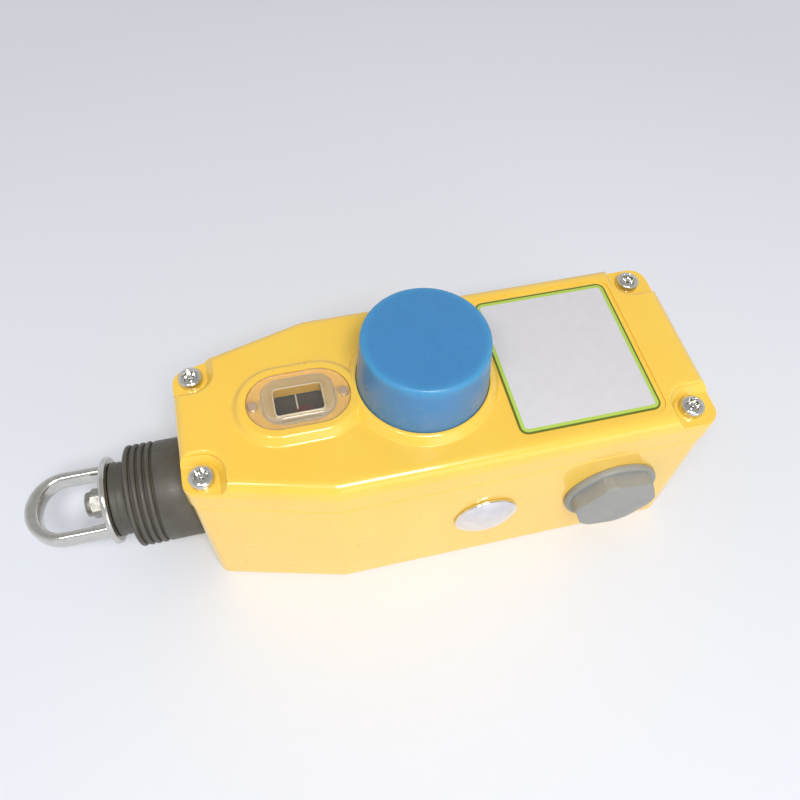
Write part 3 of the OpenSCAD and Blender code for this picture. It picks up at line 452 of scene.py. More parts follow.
def dimmed(colour: Sequence[float], share: float) -> tuple[float, ...]:
    """A linear colour at a share of its brightness."""
    return (*(c * share for c in colour[:3]), 1.0)


def feed(tree: Tree, node: Node, inputs: Inputs) -> None:
    """Sets a node's inputs.

    Args:
        tree: The node tree.
        node: The node.
        inputs: Values for its inputs, or output sockets to link to them.
    """
    for key, value in inputs.items():
        if isinstance(value, Socket):
            tree.links.new(value, node.inputs[key])
        else:
            node.inputs[key].default_value = value


def add_node(tree: Tree, kind: str, settings: dict[str, object] | None = None,
             inputs: Inputs | None = None) -> Node:
    """Adds a node, sets it up and links it.

    Args:
        tree: The node tree.
        kind: The node's type name.
        settings: Properties of the node.
        inputs: Values for its inputs, or output sockets to link to them.

    Returns:
        The new node.
    """
    node = tree.nodes.new(kind)
    for key, value in (settings or {}).items():
        setattr(node, key, value)
    feed(tree, node, inputs or {})
    return node


def calc(tree: Tree, operation: str, first: object, second: object = 0.0) -> Socket:
    """Adds one sum of two numbers."""
    return add_node(tree, "ShaderNodeMath", {"operation": operation}, {0: first, 1: second}).outputs[0]


def vector_calc(tree: Tree, operation: str, first: object, second: object) -> Socket:
    """Adds one sum of two vectors."""
    return add_node(tree, "ShaderNodeVectorMath", {"operation": operation}, {0: first, 1: second}).outputs[0]


def length_of(tree: Tree, vector: Socket) -> Socket:
    """Length of a vector."""
    return add_node(tree, "ShaderNodeVectorMath", {"operation": "LENGTH"}, {0: vector}).outputs["Value"]


def part_of(tree: Tree, vector: Socket, axis: int) -> Socket:
    """Share of a vector along one axis, given as 0, 1 or 2."""
    return add_node(tree, "ShaderNodeSeparateXYZ", inputs={0: vector}).outputs[axis]


def noise(tree: Tree, place: Socket, size: float, detail: float = 3.0,
          stretch: Point = (1.0, 1.0, 1.0)) -> Socket:
    """Adds a noise pattern.

    Args:
        tree: The node tree.
        place: The place on the piece, in metres.
        size: Size of the pattern's features in millimetres.
        detail: Number of finer layers.
        stretch: How much longer the features are along each axis.

    Returns:
        The pattern's value, from 0 to 1.
    """
    scaled = add_node(tree, "ShaderNodeMapping", inputs={"Vector": place, "Scale": [1 / s for s in stretch]})
    pattern = add_node(tree, "ShaderNodeTexNoise", inputs={
        "Vector": scaled.outputs[0], "Scale": 1 / (size * MM), "Detail": detail, "Roughness": 0.55})
    return pattern.outputs[0]


def spread(tree: Tree, value: Socket, low: object, high: object,
           start: float = 0.3, end: float = 0.7) -> Socket:
    """Maps a pattern's middle range to a range of values."""
    return add_node(tree, "ShaderNodeMapRange", inputs={
        "Value": value, "From Min": start, "From Max": end, "To Min": low, "To Max": high}).outputs[0]


def step_up(tree: Tree, value: Socket, start: float, end: float) -> Socket:
    """Rises from 0 to 1 between two places in millimetres."""
    return spread(tree, value, 0.0, 1.0, start * MM, end * MM)


def blended(tree: Tree, share: Socket, first: object, second: object) -> Socket:
    """Mixes two colours by a share from 0 to 1."""
    return add_node(tree, "ShaderNodeMix", {"data_type": "RGBA"}, {0: share, 6: first, 7: second}).outputs[2]


def bumped(tree: Tree, height: Socket, depth: float, strength: float = 1.0) -> Socket:
    """Turns a height pattern of a depth in millimetres into a surface normal."""
    return add_node(tree, "ShaderNodeBump", inputs={
        "Height": height, "Distance": depth * MM, "Strength": strength}).outputs[0]


def mix_shaders(tree: Tree, share: Socket, first: Node, second: Node) -> Socket:
    """Mixes two shaders by a share from 0 to 1."""
    return add_node(tree, "ShaderNodeMixShader", inputs={
        0: share, 1: first.outputs[0], 2: second.outputs[0]}).outputs[0]


@dataclass(frozen=True)
class Finish:
    """What every finish shares: its name, the name of the slot that it belongs to, and its colour."""

    name: str
    slot: str
    colour: str

    def build(self) -> bpy.types.Material:
        """Builds the material.

        Returns:
            The new material.
        """
        material = bpy.data.materials.new(self.name)
        material.use_nodes = True
        tree = material.node_tree
        place = add_node(tree, "ShaderNodeTexCoord").outputs["Object"]
        shader = tree.nodes["Principled BSDF"]
        feed(tree, shader, self.inputs(tree, place))
        self.cover(tree, shader)
        return material

    def inputs(self, tree: Tree, place: Socket) -> Inputs:
        """Inputs of the main shader, from the place on the piece in metres."""
        raise NotImplementedError

    def cover(self, tree: Tree, shader: Node) -> None:
        """Puts something over the main shader; most finishes need nothing."""


@dataclass(frozen=True)
class PowderCoat(Finish):
    """Gloss polyester powder coat on die-cast aluminium.

    The baked powder flows out to a thick gloss skin, with the faint waviness of orange peel.
    """

    deep: str = "#FFCE47"
    cloud: float = 28.0
    peel: float = 6.0
    peel_depth: float = 0.006
    gloss: Flat = (0.27, 0.31)
    coat: Flat = (0.75, 0.06)

    def inputs(self, tree: Tree, place: Socket) -> Inputs:
        """Paint with slow clouds of a deeper tone.

        Args:
            tree: Node tree of the finish.
            place: Place on the piece, in metres.

        Returns:
            Inputs of the main shader.
        """
        cloud = spread(tree, noise(tree, place, self.cloud, 2.0), 0.0, 1.0)
        weight, roughness = self.coat
        return {"Base Color": blended(tree, cloud, linear(self.colour), linear(self.deep)),
                "Roughness": spread(tree, noise(tree, place, 9.0, 2.0), *self.gloss),
                "Normal": bumped(tree, noise(tree, place, self.peel, 0.0), self.peel_depth),
                "Coat Weight": weight, "Coat Roughness": roughness, "IOR": 1.5}


@dataclass(frozen=True)
class MouldedPlastic(Finish):
    """Injection-moulded plastic with the soft shine and small flow marks of its mould."""

    gloss: float = 0.35
    glow: float = 0.0
    grain: float = 0.6
    tone: float = 0.12

    def inputs(self, tree: Tree, place: Socket) -> Inputs:
        """Plastic with flow marks, and a glow under its skin where it is translucent.

        Args:
            tree: Node tree of the finish.
            place: Place on the piece, in metres.

        Returns:
            Inputs of the main shader.
        """
        base = linear(self.colour)
        flow = spread(tree, noise(tree, place, 12.0, 3.0), 0.0, 1.0)
        inputs: Inputs = {
            "Base Color": blended(tree, flow, base, dimmed(base, 1 - self.tone)),
            "Roughness": spread(tree, noise(tree, place, 5.0, 4.0), self.gloss - 0.06, self.gloss + 0.08),
            "Normal": bumped(tree, noise(tree, place, self.grain, 2.0), 0.01, 0.6), "IOR": 1.49}
        if self.glow > 0:
            inputs.update({"Subsurface Weight": self.glow, "Subsurface Radius": (0.4, 0.8, 1.0),
                           "Subsurface Scale": 2.5 * MM})
        return inputs


@dataclass(frozen=True)
class CapPlastic(MouldedPlastic):
    """Translucent moulded cap with a painted glow: a paler band round its top stands in for light that enters
    through its thin outer wall.
    """

    pale: str = "#4AA2CF"
    most: float = 0.75
    centre: float = -4.3
    across: Flat = (15.4, 18.2)
    above: Flat = (80.5, 83.7)

    def inputs(self, tree: Tree, place: Socket) -> Inputs:
        """Plastic with a painted glow, a paler band round its top.

        Args:
            tree: Node tree of the finish.
            place: Place on the piece, in metres.

        Returns:
            Inputs of the main shader.
        """
        inputs = super().inputs(tree, place)
        away = vector_calc(tree, "SUBTRACT", place, (self.centre * MM, 0.0, 0.0))
        radius = length_of(tree, vector_calc(tree, "MULTIPLY", away, (1.0, 1.0, 0.0)))
        inner, outer = self.across
        band = calc(tree, "MULTIPLY", spread(tree, radius, 0.0, self.most, inner * MM, outer * MM),
                    step_up(tree, part_of(tree, place, 2), *self.above))
        # painted glow: the base colour turns paler in a band near the rim of the top
        inputs["Base Color"] = blended(tree, band, inputs["Base Color"], linear(self.pale))
        return inputs


@dataclass(frozen=True)
class ClearPlastic(Finish):
    """Moulded clear polycarbonate: glossy and finely rubbed, a little less clear on its flange, with a
    painted whitish sheen on its steep sides that stands in for their reflections.
    """

    flange: float = 66.0
    painted_side_sheen: str = "#DCCCAE"
    shade: str = "#E4E2DE"
    steep_transmission: float = 0.6
    clearest: Flat = (0.9, 0.985)

    def inputs(self, tree: Tree, place: Socket) -> Inputs:
        """Plastic that is clear on its level faces above and below the flange's height, with a painted
        whitish sheen on its steep faces.

        Args:
            tree: Node tree of the finish.
            place: Place on the piece, in metres.

        Returns:
            Inputs of the main shader.
        """
        facing = add_node(tree, "ShaderNodeNewGeometry").outputs["Normal"]
        level = spread(tree, part_of(tree, facing, 2), 0.0, 1.0, 0.55, 0.97)
        height = part_of(tree, place, 2)
        under = spread(tree, height, 1.0, 0.0, (self.flange - 1.2) * MM, (self.flange - 1.0) * MM)
        above = step_up(tree, height, self.flange + 1.1, self.flange + 1.25)
        clear = spread(tree, calc(tree, "MAXIMUM", under, above), *self.clearest, 0.0, 1.0)
        # painted reflection: steep faces take the whitish sheen colour and let less light through
        return {"Base Color": blended(tree, level, linear(self.painted_side_sheen), linear(self.colour)),
                "Transmission Weight": spread(tree, level, self.steep_transmission, clear, 0.0, 1.0),
                "Roughness": spread(tree, noise(tree, place, 1.4, 4.0, (6.0, 1.0, 1.0)), 0.02, 0.09),
                "Normal": bumped(tree, noise(tree, place, 2.2, 2.0), 0.012), "IOR": 1.56}

    def cover(self, tree: Tree, shader: Node) -> None:
        """Lets the light of the lamps through to what is under the lens.

        Args:
            tree: Node tree of the finish.
            shader: Main shader.
        """
        shadow = add_node(tree, "ShaderNodeLightPath").outputs["Is Shadow Ray"]
        open_way = add_node(tree, "ShaderNodeBsdfTransparent", inputs={"Color": linear(self.shade)})
        feed(tree, tree.nodes["Material Output"], {"Surface": mix_shaders(tree, shadow, shader, open_way)})


@dataclass(frozen=True)
class Rubber(Finish):
    """Compression-moulded neoprene: matt, a little dusty, with a soft sheen on its high places."""

    dust: str = "#7A756A"
    gloss: float = 0.48

    def inputs(self, tree: Tree, place: Socket) -> Inputs:
        """Rubber under a thin haze of dust.

        Args:
            tree: Node tree of the finish.
            place: Place on the piece, in metres.

        Returns:
            Inputs of the main shader.
        """
        haze = spread(tree, noise(tree, place, 9.0, 4.0), 0.04, 0.3, 0.3, 0.75)
        return {"Base Color": blended(tree, haze, linear(self.colour), linear(self.dust)),
                "Roughness": spread(tree, noise(tree, place, 2.5, 4.0), self.gloss - 0.08, self.gloss + 0.1),
                "Normal": bumped(tree, noise(tree, place, 0.45, 3.0), 0.015, 0.7), "IOR": 1.52}


@dataclass(frozen=True)
class PlatedMetal(Finish):
    """Plated steel or zinc: a mirror-like skin with handling marks in its shine."""

    gloss: float = 0.16
    mark: float = 2.0
    grain: Point = (1.0, 1.0, 1.0)
    depth: float = 0.006
    worn: float = 0.84

    def inputs(self, tree: Tree, place: Socket) -> Inputs:
        """Metal that is duller where it has been handled.

        Args:
            tree: Node tree of the finish.
            place: Place on the piece, in metres.

        Returns:
            Inputs of the main shader.
        """
        base = linear(self.colour)
        wear = noise(tree, place, self.mark, 5.0, self.grain)
        fine = noise(tree, place, self.mark * 0.6, 3.0, self.grain)
        return {"Base Color": blended(tree, spread(tree, wear, 0.0, 1.0), base, dimmed(base, self.worn)),
                "Roughness": spread(tree, wear, self.gloss * 0.75, self.gloss * 1.5),
                "Normal": bumped(tree, fine, self.depth), "Metallic": 1.0}


@dataclass(frozen=True)
class LabelFoil(Finish):
    """Screen-printed polyester foil: a silver field inside a lime border, with a dark olive band at its very
    edge that is painted shade of the gap round the foil.
    """

    length: float = 42.8
    width: float = 48.2
    corner: float = 2.6
    centre: float = 39.6
    lime: str = "#B9D45A"
    painted_gap_shade: str = "#5F6B17"
    lime_edge: Flat = (1.7, 1.5)
    painted_gap_shade_edge: Flat = (0.62, 0.5)
    metallic: float = 0.15

    def inputs(self, tree: Tree, place: Socket) -> Inputs:
        """Printed foil whose border and painted edge shade follow the label's rounded edge.

        Args:
            tree: Node tree of the finish.
            place: Place on the piece, in metres.

        Returns:
            Inputs of the main shader.
        """
        sides = []
        for axis, middle, size in ((0, self.centre, self.length), (1, 0.0, self.width)):
            away = calc(tree, "ABSOLUTE", calc(tree, "SUBTRACT", part_of(tree, place, axis), middle * MM))
            sides.append(calc(tree, "MAXIMUM", calc(tree, "SUBTRACT", away, (size / 2 - self.corner) * MM)))
        out = add_node(tree, "ShaderNodeCombineXYZ", inputs={0: sides[0], 1: sides[1]}).outputs[0]
        reach = length_of(tree, out)
        # the outermost half millimetre of the foil is painted shade of the gap between foil and recess
        lime, painted_gap_shade = (step_up(tree, reach, *(self.corner - e for e in edge))
                       for edge in (self.lime_edge, self.painted_gap_shade_edge))
        base = linear(self.colour)
        haze = spread(tree, noise(tree, place, 3.0, 4.0), 0.0, 1.0)
        inner = blended(tree, lime, blended(tree, haze, base, dimmed(base, 0.96)), linear(self.lime))
        return {"Base Color": blended(tree, painted_gap_shade, inner, linear(self.painted_gap_shade)),
                "Roughness": spread(tree, noise(tree, place, 1.2, 4.0, (1.0, 8.0, 1.0)), 0.36, 0.5),
                "Normal": bumped(tree, noise(tree, place, 0.5, 2.0), 0.004),
                "Metallic": spread(tree, lime, self.metallic, 0.0, 0.0, 1.0)}


@dataclass(frozen=True)
class FlagPrint(Finish):
    """Painted steel indicator flag: dark, with a white centre line and a red sector."""

    centre: float = -40.4
    faded: str = "#45433D"
    red: str = "#642A30"
    white: str = "#E9E7DF"
    soft: float = 0.06

    def band(self, tree: Tree, value: Socket, low: float, high: float) -> Socket:
        """Share that is 1 between two places in millimetres."""
        rise = step_up(tree, value, low - self.soft, low + self.soft)
        fall = spread(tree, value, 1.0, 0.0, (high - self.soft) * MM, (high + self.soft) * MM)
        return calc(tree, "MULTIPLY", rise, fall)

    def inputs(self, tree: Tree, place: Socket) -> Inputs:
        """Dark paint with the red sector and the white line over it.

        Args:
            tree: Node tree of the finish.
            place: Place on the piece, in metres.

        Returns:
            Inputs of the main shader.
        """
        x, y = part_of(tree, place, 0), part_of(tree, place, 1)
        line = calc(tree, "MULTIPLY", self.band(tree, x, self.centre - 0.75, self.centre - 0.35),
                    self.band(tree, y, -0.4, 9.0))
        sector = calc(tree, "MULTIPLY", self.band(tree, x, self.centre - 1.2, self.centre + 3.2),
                      self.band(tree, y, -9.0, 0.5))
        haze = spread(tree, noise(tree, place, 2.0, 4.0), 0.0, 1.0)
        base = blended(tree, haze, linear(self.colour), linear(self.faded))
        marked = blended(tree, sector, base, linear(self.red))
        return {"Base Color": blended(tree, line, marked, linear(self.white)),
                "Roughness": spread(tree, haze, 0.4, 0.55, 0.0, 1.0)}


class Palette:
    """The finishes of the switch, built once each."""

    def __init__(self) -> None:
        """Builds every finish."""
        finishes = {
            "paint": PowderCoat("powder_coat_yellow", "yellow_paint", "#FFD34F"),
            "button": CapPlastic("moulded_acetal_blue", "blue_plastic", "#438AC3", 0.3, 0.3, 0.6, 0.06),
            "lens": ClearPlastic("clear_polycarbonate", "clear_plastic", "#EBEFF1"),
            "silicone": MouldedPlastic("clear_silicone_gasket", "clear_plastic", "#DCC69B", 0.4, 0.2),
            # near-white finish of the bead that paints the highlight round the sight opening
            "lip": MouldedPlastic("highlight_bead_finish", "clear_plastic", "#FFF9EA", 0.22),
            "peg": MouldedPlastic("moulded_peg_plastic", "grey_plastic", "#BBA088", 0.5),
            "plug": MouldedPlastic("moulded_nylon_grey", "grey_plastic", "#9C9D99", 0.42, 0.0, 0.8, 0.08),
            "black": MouldedPlastic("moulded_nylon_black", "black_plastic", "#26251F", 0.4),
            "block": MouldedPlastic("moulded_phenolic_grey", "block_plastic", "#3A3C3E", 0.45),
            "white": MouldedPlastic("moulded_acetal_white", "white_plastic", "#EDEDE8", 0.35, 0.1),
            "gaiter": Rubber("neoprene_gaiter", "gaiter_rubber", "#4A473F"),
            "seal": Rubber("nitrile_seal", "seal_rubber", "#1E1D1B", "#34322E", 0.55),
            "bright": PlatedMetal("bright_nickel_plate", "bright_metal", "#DAD8D2", 0.14, 2.4),
            "nut": PlatedMetal("passivated_nut", "bright_metal", "#A3A198", 0.34, 1.6),
            "dome": PlatedMetal("polished_nickel_plug", "bright_metal", "#EFEDF0", 0.15, 4.0),
            "steel": PlatedMetal("ground_steel", "steel", "#A9ABAD", 0.28, 1.2, (8.0, 1.0, 1.0)),
            "zinc": PlatedMetal("bright_zinc_plate", "zinc_steel", "#CDCFD0", 0.2, 1.8),
            "bronze": PlatedMetal("sintered_bronze", "bronze", "#A97F45", 0.36, 0.8),
            "label": LabelFoil("printed_label_foil", "label_foil", "#E4E1E4"),
            "flag": FlagPrint("painted_flag", "steel", "#3A3A36"),
        }
        self.built = {key: (finish.build(), finish.slot) for key, finish in finishes.items()}

    def dress(self, obj: Piece, key: str) -> Piece:
        """Gives an object one finish.

        Args:
            obj: The object.
            key: The finish's short name.

        Returns:
            The same object.
        """
        material, slot = self.built[key]
        obj.data.materials.clear()
        obj.data.materials.append(material)
        return obj

    def material(self, key: str) -> bpy.types.Material:
        """Material of one finish."""
        return self.built[key][0]


@dataclass
class Workshop:
    """What every sub-assembly needs: the frame's nodes and the finishes."""

    nodes: dict[str, Piece]
    palette: Palette

    def fit(self, obj: Piece, key: str, body: Body, *stands_for: str) -> Piece:
        """Dresses a new piece and joins it to its body.

        Args:
            obj: The new piece.
            key: Its finish.
            body: The body it rides on.
            stands_for: Frame nodes that it replaces.

        Returns:
            The same piece.
        """
        self.palette.dress(obj, key)
        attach(obj, body.value)
        if stands_for:
            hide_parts(*stands_for)
        LOG.info("%s rides on %s", obj.name, body.value)
        return obj

    def join(self, obj: Piece, key: str, far: Body, node: str, ends: tuple[Point, Point]) -> None:
        """Dresses a soft piece, hides the frame node that it replaces, and leaves it at the origin with no
        parent.

        Args:
            obj: The soft piece.
            key: Its finish.
            far: Not used.
            node: Frame node that it replaces.
            ends: Not used.
        """
        self.fit(obj, key, Body.HOUSING, node)
        obj.parent = None
        obj.matrix_world = Matrix.Identity(4)
        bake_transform(obj)

    def keep(self, key: str, *names: str) -> None:
        """Gives frame nodes that keep their shape a finish."""
        for name in names:
            self.palette.dress(self.nodes[name], key)
            LOG.info("%s keeps its shape", name)


# ---- geometry node trees ----


def new_tree(name: str, sizes: dict[str, tuple[str, object]]
             ) -> tuple[Tree, Node, Node]:
    """Starts a geometry node tree.

    Args:
        name: Name of the tree.
        sizes: Its named inputs, each with a socket type and a first value.

    Returns:
        The tree, its input node and its output node.
    """
    tree = bpy.data.node_groups.new(name, "GeometryNodeTree")
    tree.interface.new_socket("Geometry", in_out="INPUT", socket_type="NodeSocketGeometry")
    for label, (kind, value) in sizes.items():
        socket = tree.interface.new_socket(label, in_out="INPUT", socket_type=kind)
        if value is not None:
            socket.default_value = value
    tree.interface.new_socket("Geometry", in_out="OUTPUT", socket_type="NodeSocketGeometry")
    return tree, tree.nodes.new("NodeGroupInput"), tree.nodes.new("NodeGroupOutput")


def close_tree(tree: Tree, last: Node, start: Node, end: Node) -> Tree:
    """Makes the last node's result real, gives it the finish and ends the tree.

    Args:
        tree: Tree to close.
        last: Node that holds the result.
        start: Input node of the tree.
        end: Output node of the tree.

    Returns:
        The same tree.
    """
    real = add_node(tree, "GeometryNodeRealizeInstances", inputs={0: last.outputs[0]})
    made = add_node(tree, "GeometryNodeSetMaterial", inputs={
        0: real.outputs[0], "Material": start.outputs["Finish"]})
    tree.links.new(made.outputs[0], end.inputs[0])
    return tree


def grown(name: str, tree: Tree, sizes: dict[str, object],
          points: Sequence[Point] = ((0.0, 0.0, 0.0),)) -> Piece:
    """Runs a geometry node tree and keeps its result as a plain mesh.

    Args:
        name: Name of the new piece.
        tree: The tree.
        sizes: Values for its named inputs.
        points: Points in millimetres that the tree starts from.

    Returns:
        The new piece.
    """
    mesh = bpy.data.meshes.new(name)
    mesh.from_pydata([Vector(p) * MM for p in points], [], [])
    obj = add_object(name, mesh)
    modifier = obj.modifiers.new("grow", "NODES")
    modifier.node_group = tree
    by_label = {item.name: item.identifier for item in tree.interface.items_tree
                if item.item_type == "SOCKET" and item.in_out == "INPUT"}
    for label, value in sizes.items():
        modifier[by_label[label]] = value
    return settle(obj)


def pattern_tree() -> Tree:
    """Tree that puts a copy of one piece on each point, each turned by a seeded angle.

    Returns:
        The tree, with the inputs Piece, Turn, Seed and Finish.
    """
    tree, start, end = new_tree("piece_on_points", {
        "Piece": ("NodeSocketObject", None), "Turn": ("NodeSocketFloat", 0.0), "Seed": ("NodeSocketInt", 3),
        "Finish": ("NodeSocketMaterial", None)})
    info = add_node(tree, "GeometryNodeObjectInfo", inputs={"Object": start.outputs["Piece"]})
    turn = add_node(tree, "FunctionNodeRandomValue", {"data_type": "FLOAT"},
                    {2: 0.0, 3: start.outputs["Turn"], "Seed": start.outputs["Seed"]})
    angle = add_node(tree, "ShaderNodeCombineXYZ", inputs={2: turn.outputs[1]})
    placed = add_node(tree, "GeometryNodeInstanceOnPoints", inputs={
        "Points": start.outputs["Geometry"], "Instance": info.outputs["Geometry"],
        "Rotation": angle.outputs[0]})
    return close_tree(tree, placed, start, end)


def coil_tree() -> Tree:
    """Tree that winds a compression spring along Z with one closed turn at each end.

    Returns:
        The tree, with the inputs Coil Radius, Wire Radius, Turns, Length, Steps and Finish.
    """
    tree, start, end = new_tree("wound_spring", {
        "Coil Radius": ("NodeSocketFloat", 0.008), "Wire Radius": ("NodeSocketFloat", 0.001),
        "Turns": ("NodeSocketFloat", 8.0), "Length": ("NodeSocketFloat", 0.04),
        "Steps": ("NodeSocketInt", 36), "Finish": ("NodeSocketMaterial", None)})
    add, less, times = (partial(calc, tree, name) for name in ("ADD", "SUBTRACT", "MULTIPLY"))
    turns, wire, radius, steps = (start.outputs[name]
                                  for name in ("Turns", "Wire Radius", "Coil Radius", "Steps"))
    count = add(times(turns, steps), 1.0)
    line = add_node(tree, "GeometryNodeMeshLine", inputs={"Count": count})
    curve = add_node(tree, "GeometryNodeMeshToCurve", inputs={0: line.outputs[0]})
    turn = calc(tree, "DIVIDE", add_node(tree, "GeometryNodeInputIndex").outputs[0], steps)
    angle = times(turn, math.tau)
    dead = times(wire, 2.04)
    live = less(less(start.outputs["Length"], times(dead, 2.0)), times(wire, 2.0))
    last = less(turns, 1.0)
    rise = times(calc(tree, "MINIMUM", turn, 1.0), dead)
    middle = spread(tree, turn, 0.0, live, 1.0, last)
    close = times(calc(tree, "MAXIMUM", less(turn, last), 0.0), dead)
    spot = add_node(tree, "ShaderNodeCombineXYZ", inputs={
        0: times(calc(tree, "COSINE", angle), radius), 1: times(calc(tree, "SINE", angle), radius),
        2: add(add(add(rise, middle), close), wire)})
    wound = add_node(tree, "GeometryNodeSetPosition", inputs={
        "Geometry": curve.outputs[0], "Position": spot.outputs[0]})
    section = add_node(tree, "GeometryNodeCurvePrimitiveCircle", inputs={"Resolution": 12, "Radius": wire})
    tube = add_node(tree, "GeometryNodeCurveToMesh", inputs={
        "Curve": wound.outputs[0], "Profile Curve": section.outputs[0], "Fill Caps": True})
    shaded = add_node(tree, "GeometryNodeSetShadeSmooth", inputs={0: tube.outputs[0]})
    return close_tree(tree, shaded, start, end)


@dataclass(frozen=True)
class Coil:
    """Wound spring, with the radius of its middle line, its wire, turns and length in millimetres."""

    radius: float
    wire: float
    turns: float
    length: float

    def wind(self, name: str, tree: Tree, finish: bpy.types.Material, place: Matrix) -> Piece:
        """Winds the spring.

        Args:
            name: Name of the piece.
            tree: The tree that winds springs.
            finish: Material of the wire.
            place: Where the spring goes from the origin, with Z along it.

        Returns:
            The new piece.
        """
        spring = grown(name, tree, {
            "Coil Radius": self.radius * MM, "Wire Radius": self.wire * MM, "Turns": self.turns,
            "Length": self.length * MM, "Finish": finish})
        spring.data.transform(place)
        return spring


# ---- housing ----


@dataclass(frozen=True)
class Outline:
    """Footprint of the housing: a rectangle with a tapered rope end and round corners."""

    rope_end: float = -75.0
    cable_end: float = 77.7
    half_width: float = 30.0
    half_nose: float = 19.5
    taper: float = 40.0
    radii: Flat = (4.0, 4.8)
    bend: float = 12.0
    steps: int = 14

    def ring(self, inset: float, z: float) -> list[Point]:
        """Points of the footprint at one height.

        Args:
            inset: How far the footprint moves in.
            z: Height of the ring.

        Returns:
            The points, anticlockwise seen from above.
        """
        bend_x = self.rope_end + self.taper
        nose, cable = self.radii
        corners = [(self.rope_end, -self.half_nose, nose), (bend_x, -self.half_width, self.bend),
                   (self.cable_end, -self.half_width, cable), (self.cable_end, self.half_width, cable),
                   (bend_x, self.half_width, self.bend), (self.rope_end, self.half_nose, nose)]
        points: list[Point] = []
        for i, (x, y, radius) in enumerate(corners):
            here = Vector((x, y))
            before = (here - Vector(corners[i - 1][:2])).normalized()
            after = (Vector(corners[(i + 1) % len(corners)][:2]) - here).normalized()
            first, second = Vector((before.y, -before.x)), Vector((after.y, -after.x))
            size = max(radius - inset, 0.6)
            centre = here - (inset + size) * (first + second) / (1 + first.dot(second))
            start = math.atan2(first.y, first.x)
            sweep = math.acos(min(1.0, first.dot(second)))
            points += [(centre.x + size * math.cos(start + sweep * k / self.steps),
                        centre.y + size * math.sin(start + sweep * k / self.steps), z)
                       for k in range(self.steps + 1)]
        return points

    def solid(self, name: str, levels: Sequence[Flat]) -> Piece:
        """Solid through the footprint at several levels, each an (inset, height)."""
        return lofted(name, [self.ring(inset, z) for inset, z in levels])


@dataclass(frozen=True)
class HousingSizes:
    """Heights and places that the base and the lid share."""

    outline: Outline = field(default_factory=Outline)
    axis_z: float = 28.0
    base_top: float = 51.8
    lid_low: float = 52.1
    rim: float = 60.0
    panel: float = 63.7
    lean: float = 0.3
    over: float = 0.5
    panel_round: float = 3.6
    pad_round: float = 1.4
    wall: float = 3.5
    floor: float = 4.0
    skin: float = 3.2
    foot_round: float = 1.5
    band: Flat = (0.5, 2.8)
    screws: tuple[Flat, ...] = ((-69.8, 16.5), (-69.8, -16.5), (70.7, 24.4), (70.7, -24.4))
    screw_cut: float = 4.9
    screw_draft: float = 1.5
    post: float = 4.2
    screw_hole: float = 2.1
    button_x: float = -4.3
    window_x: float = -40.4


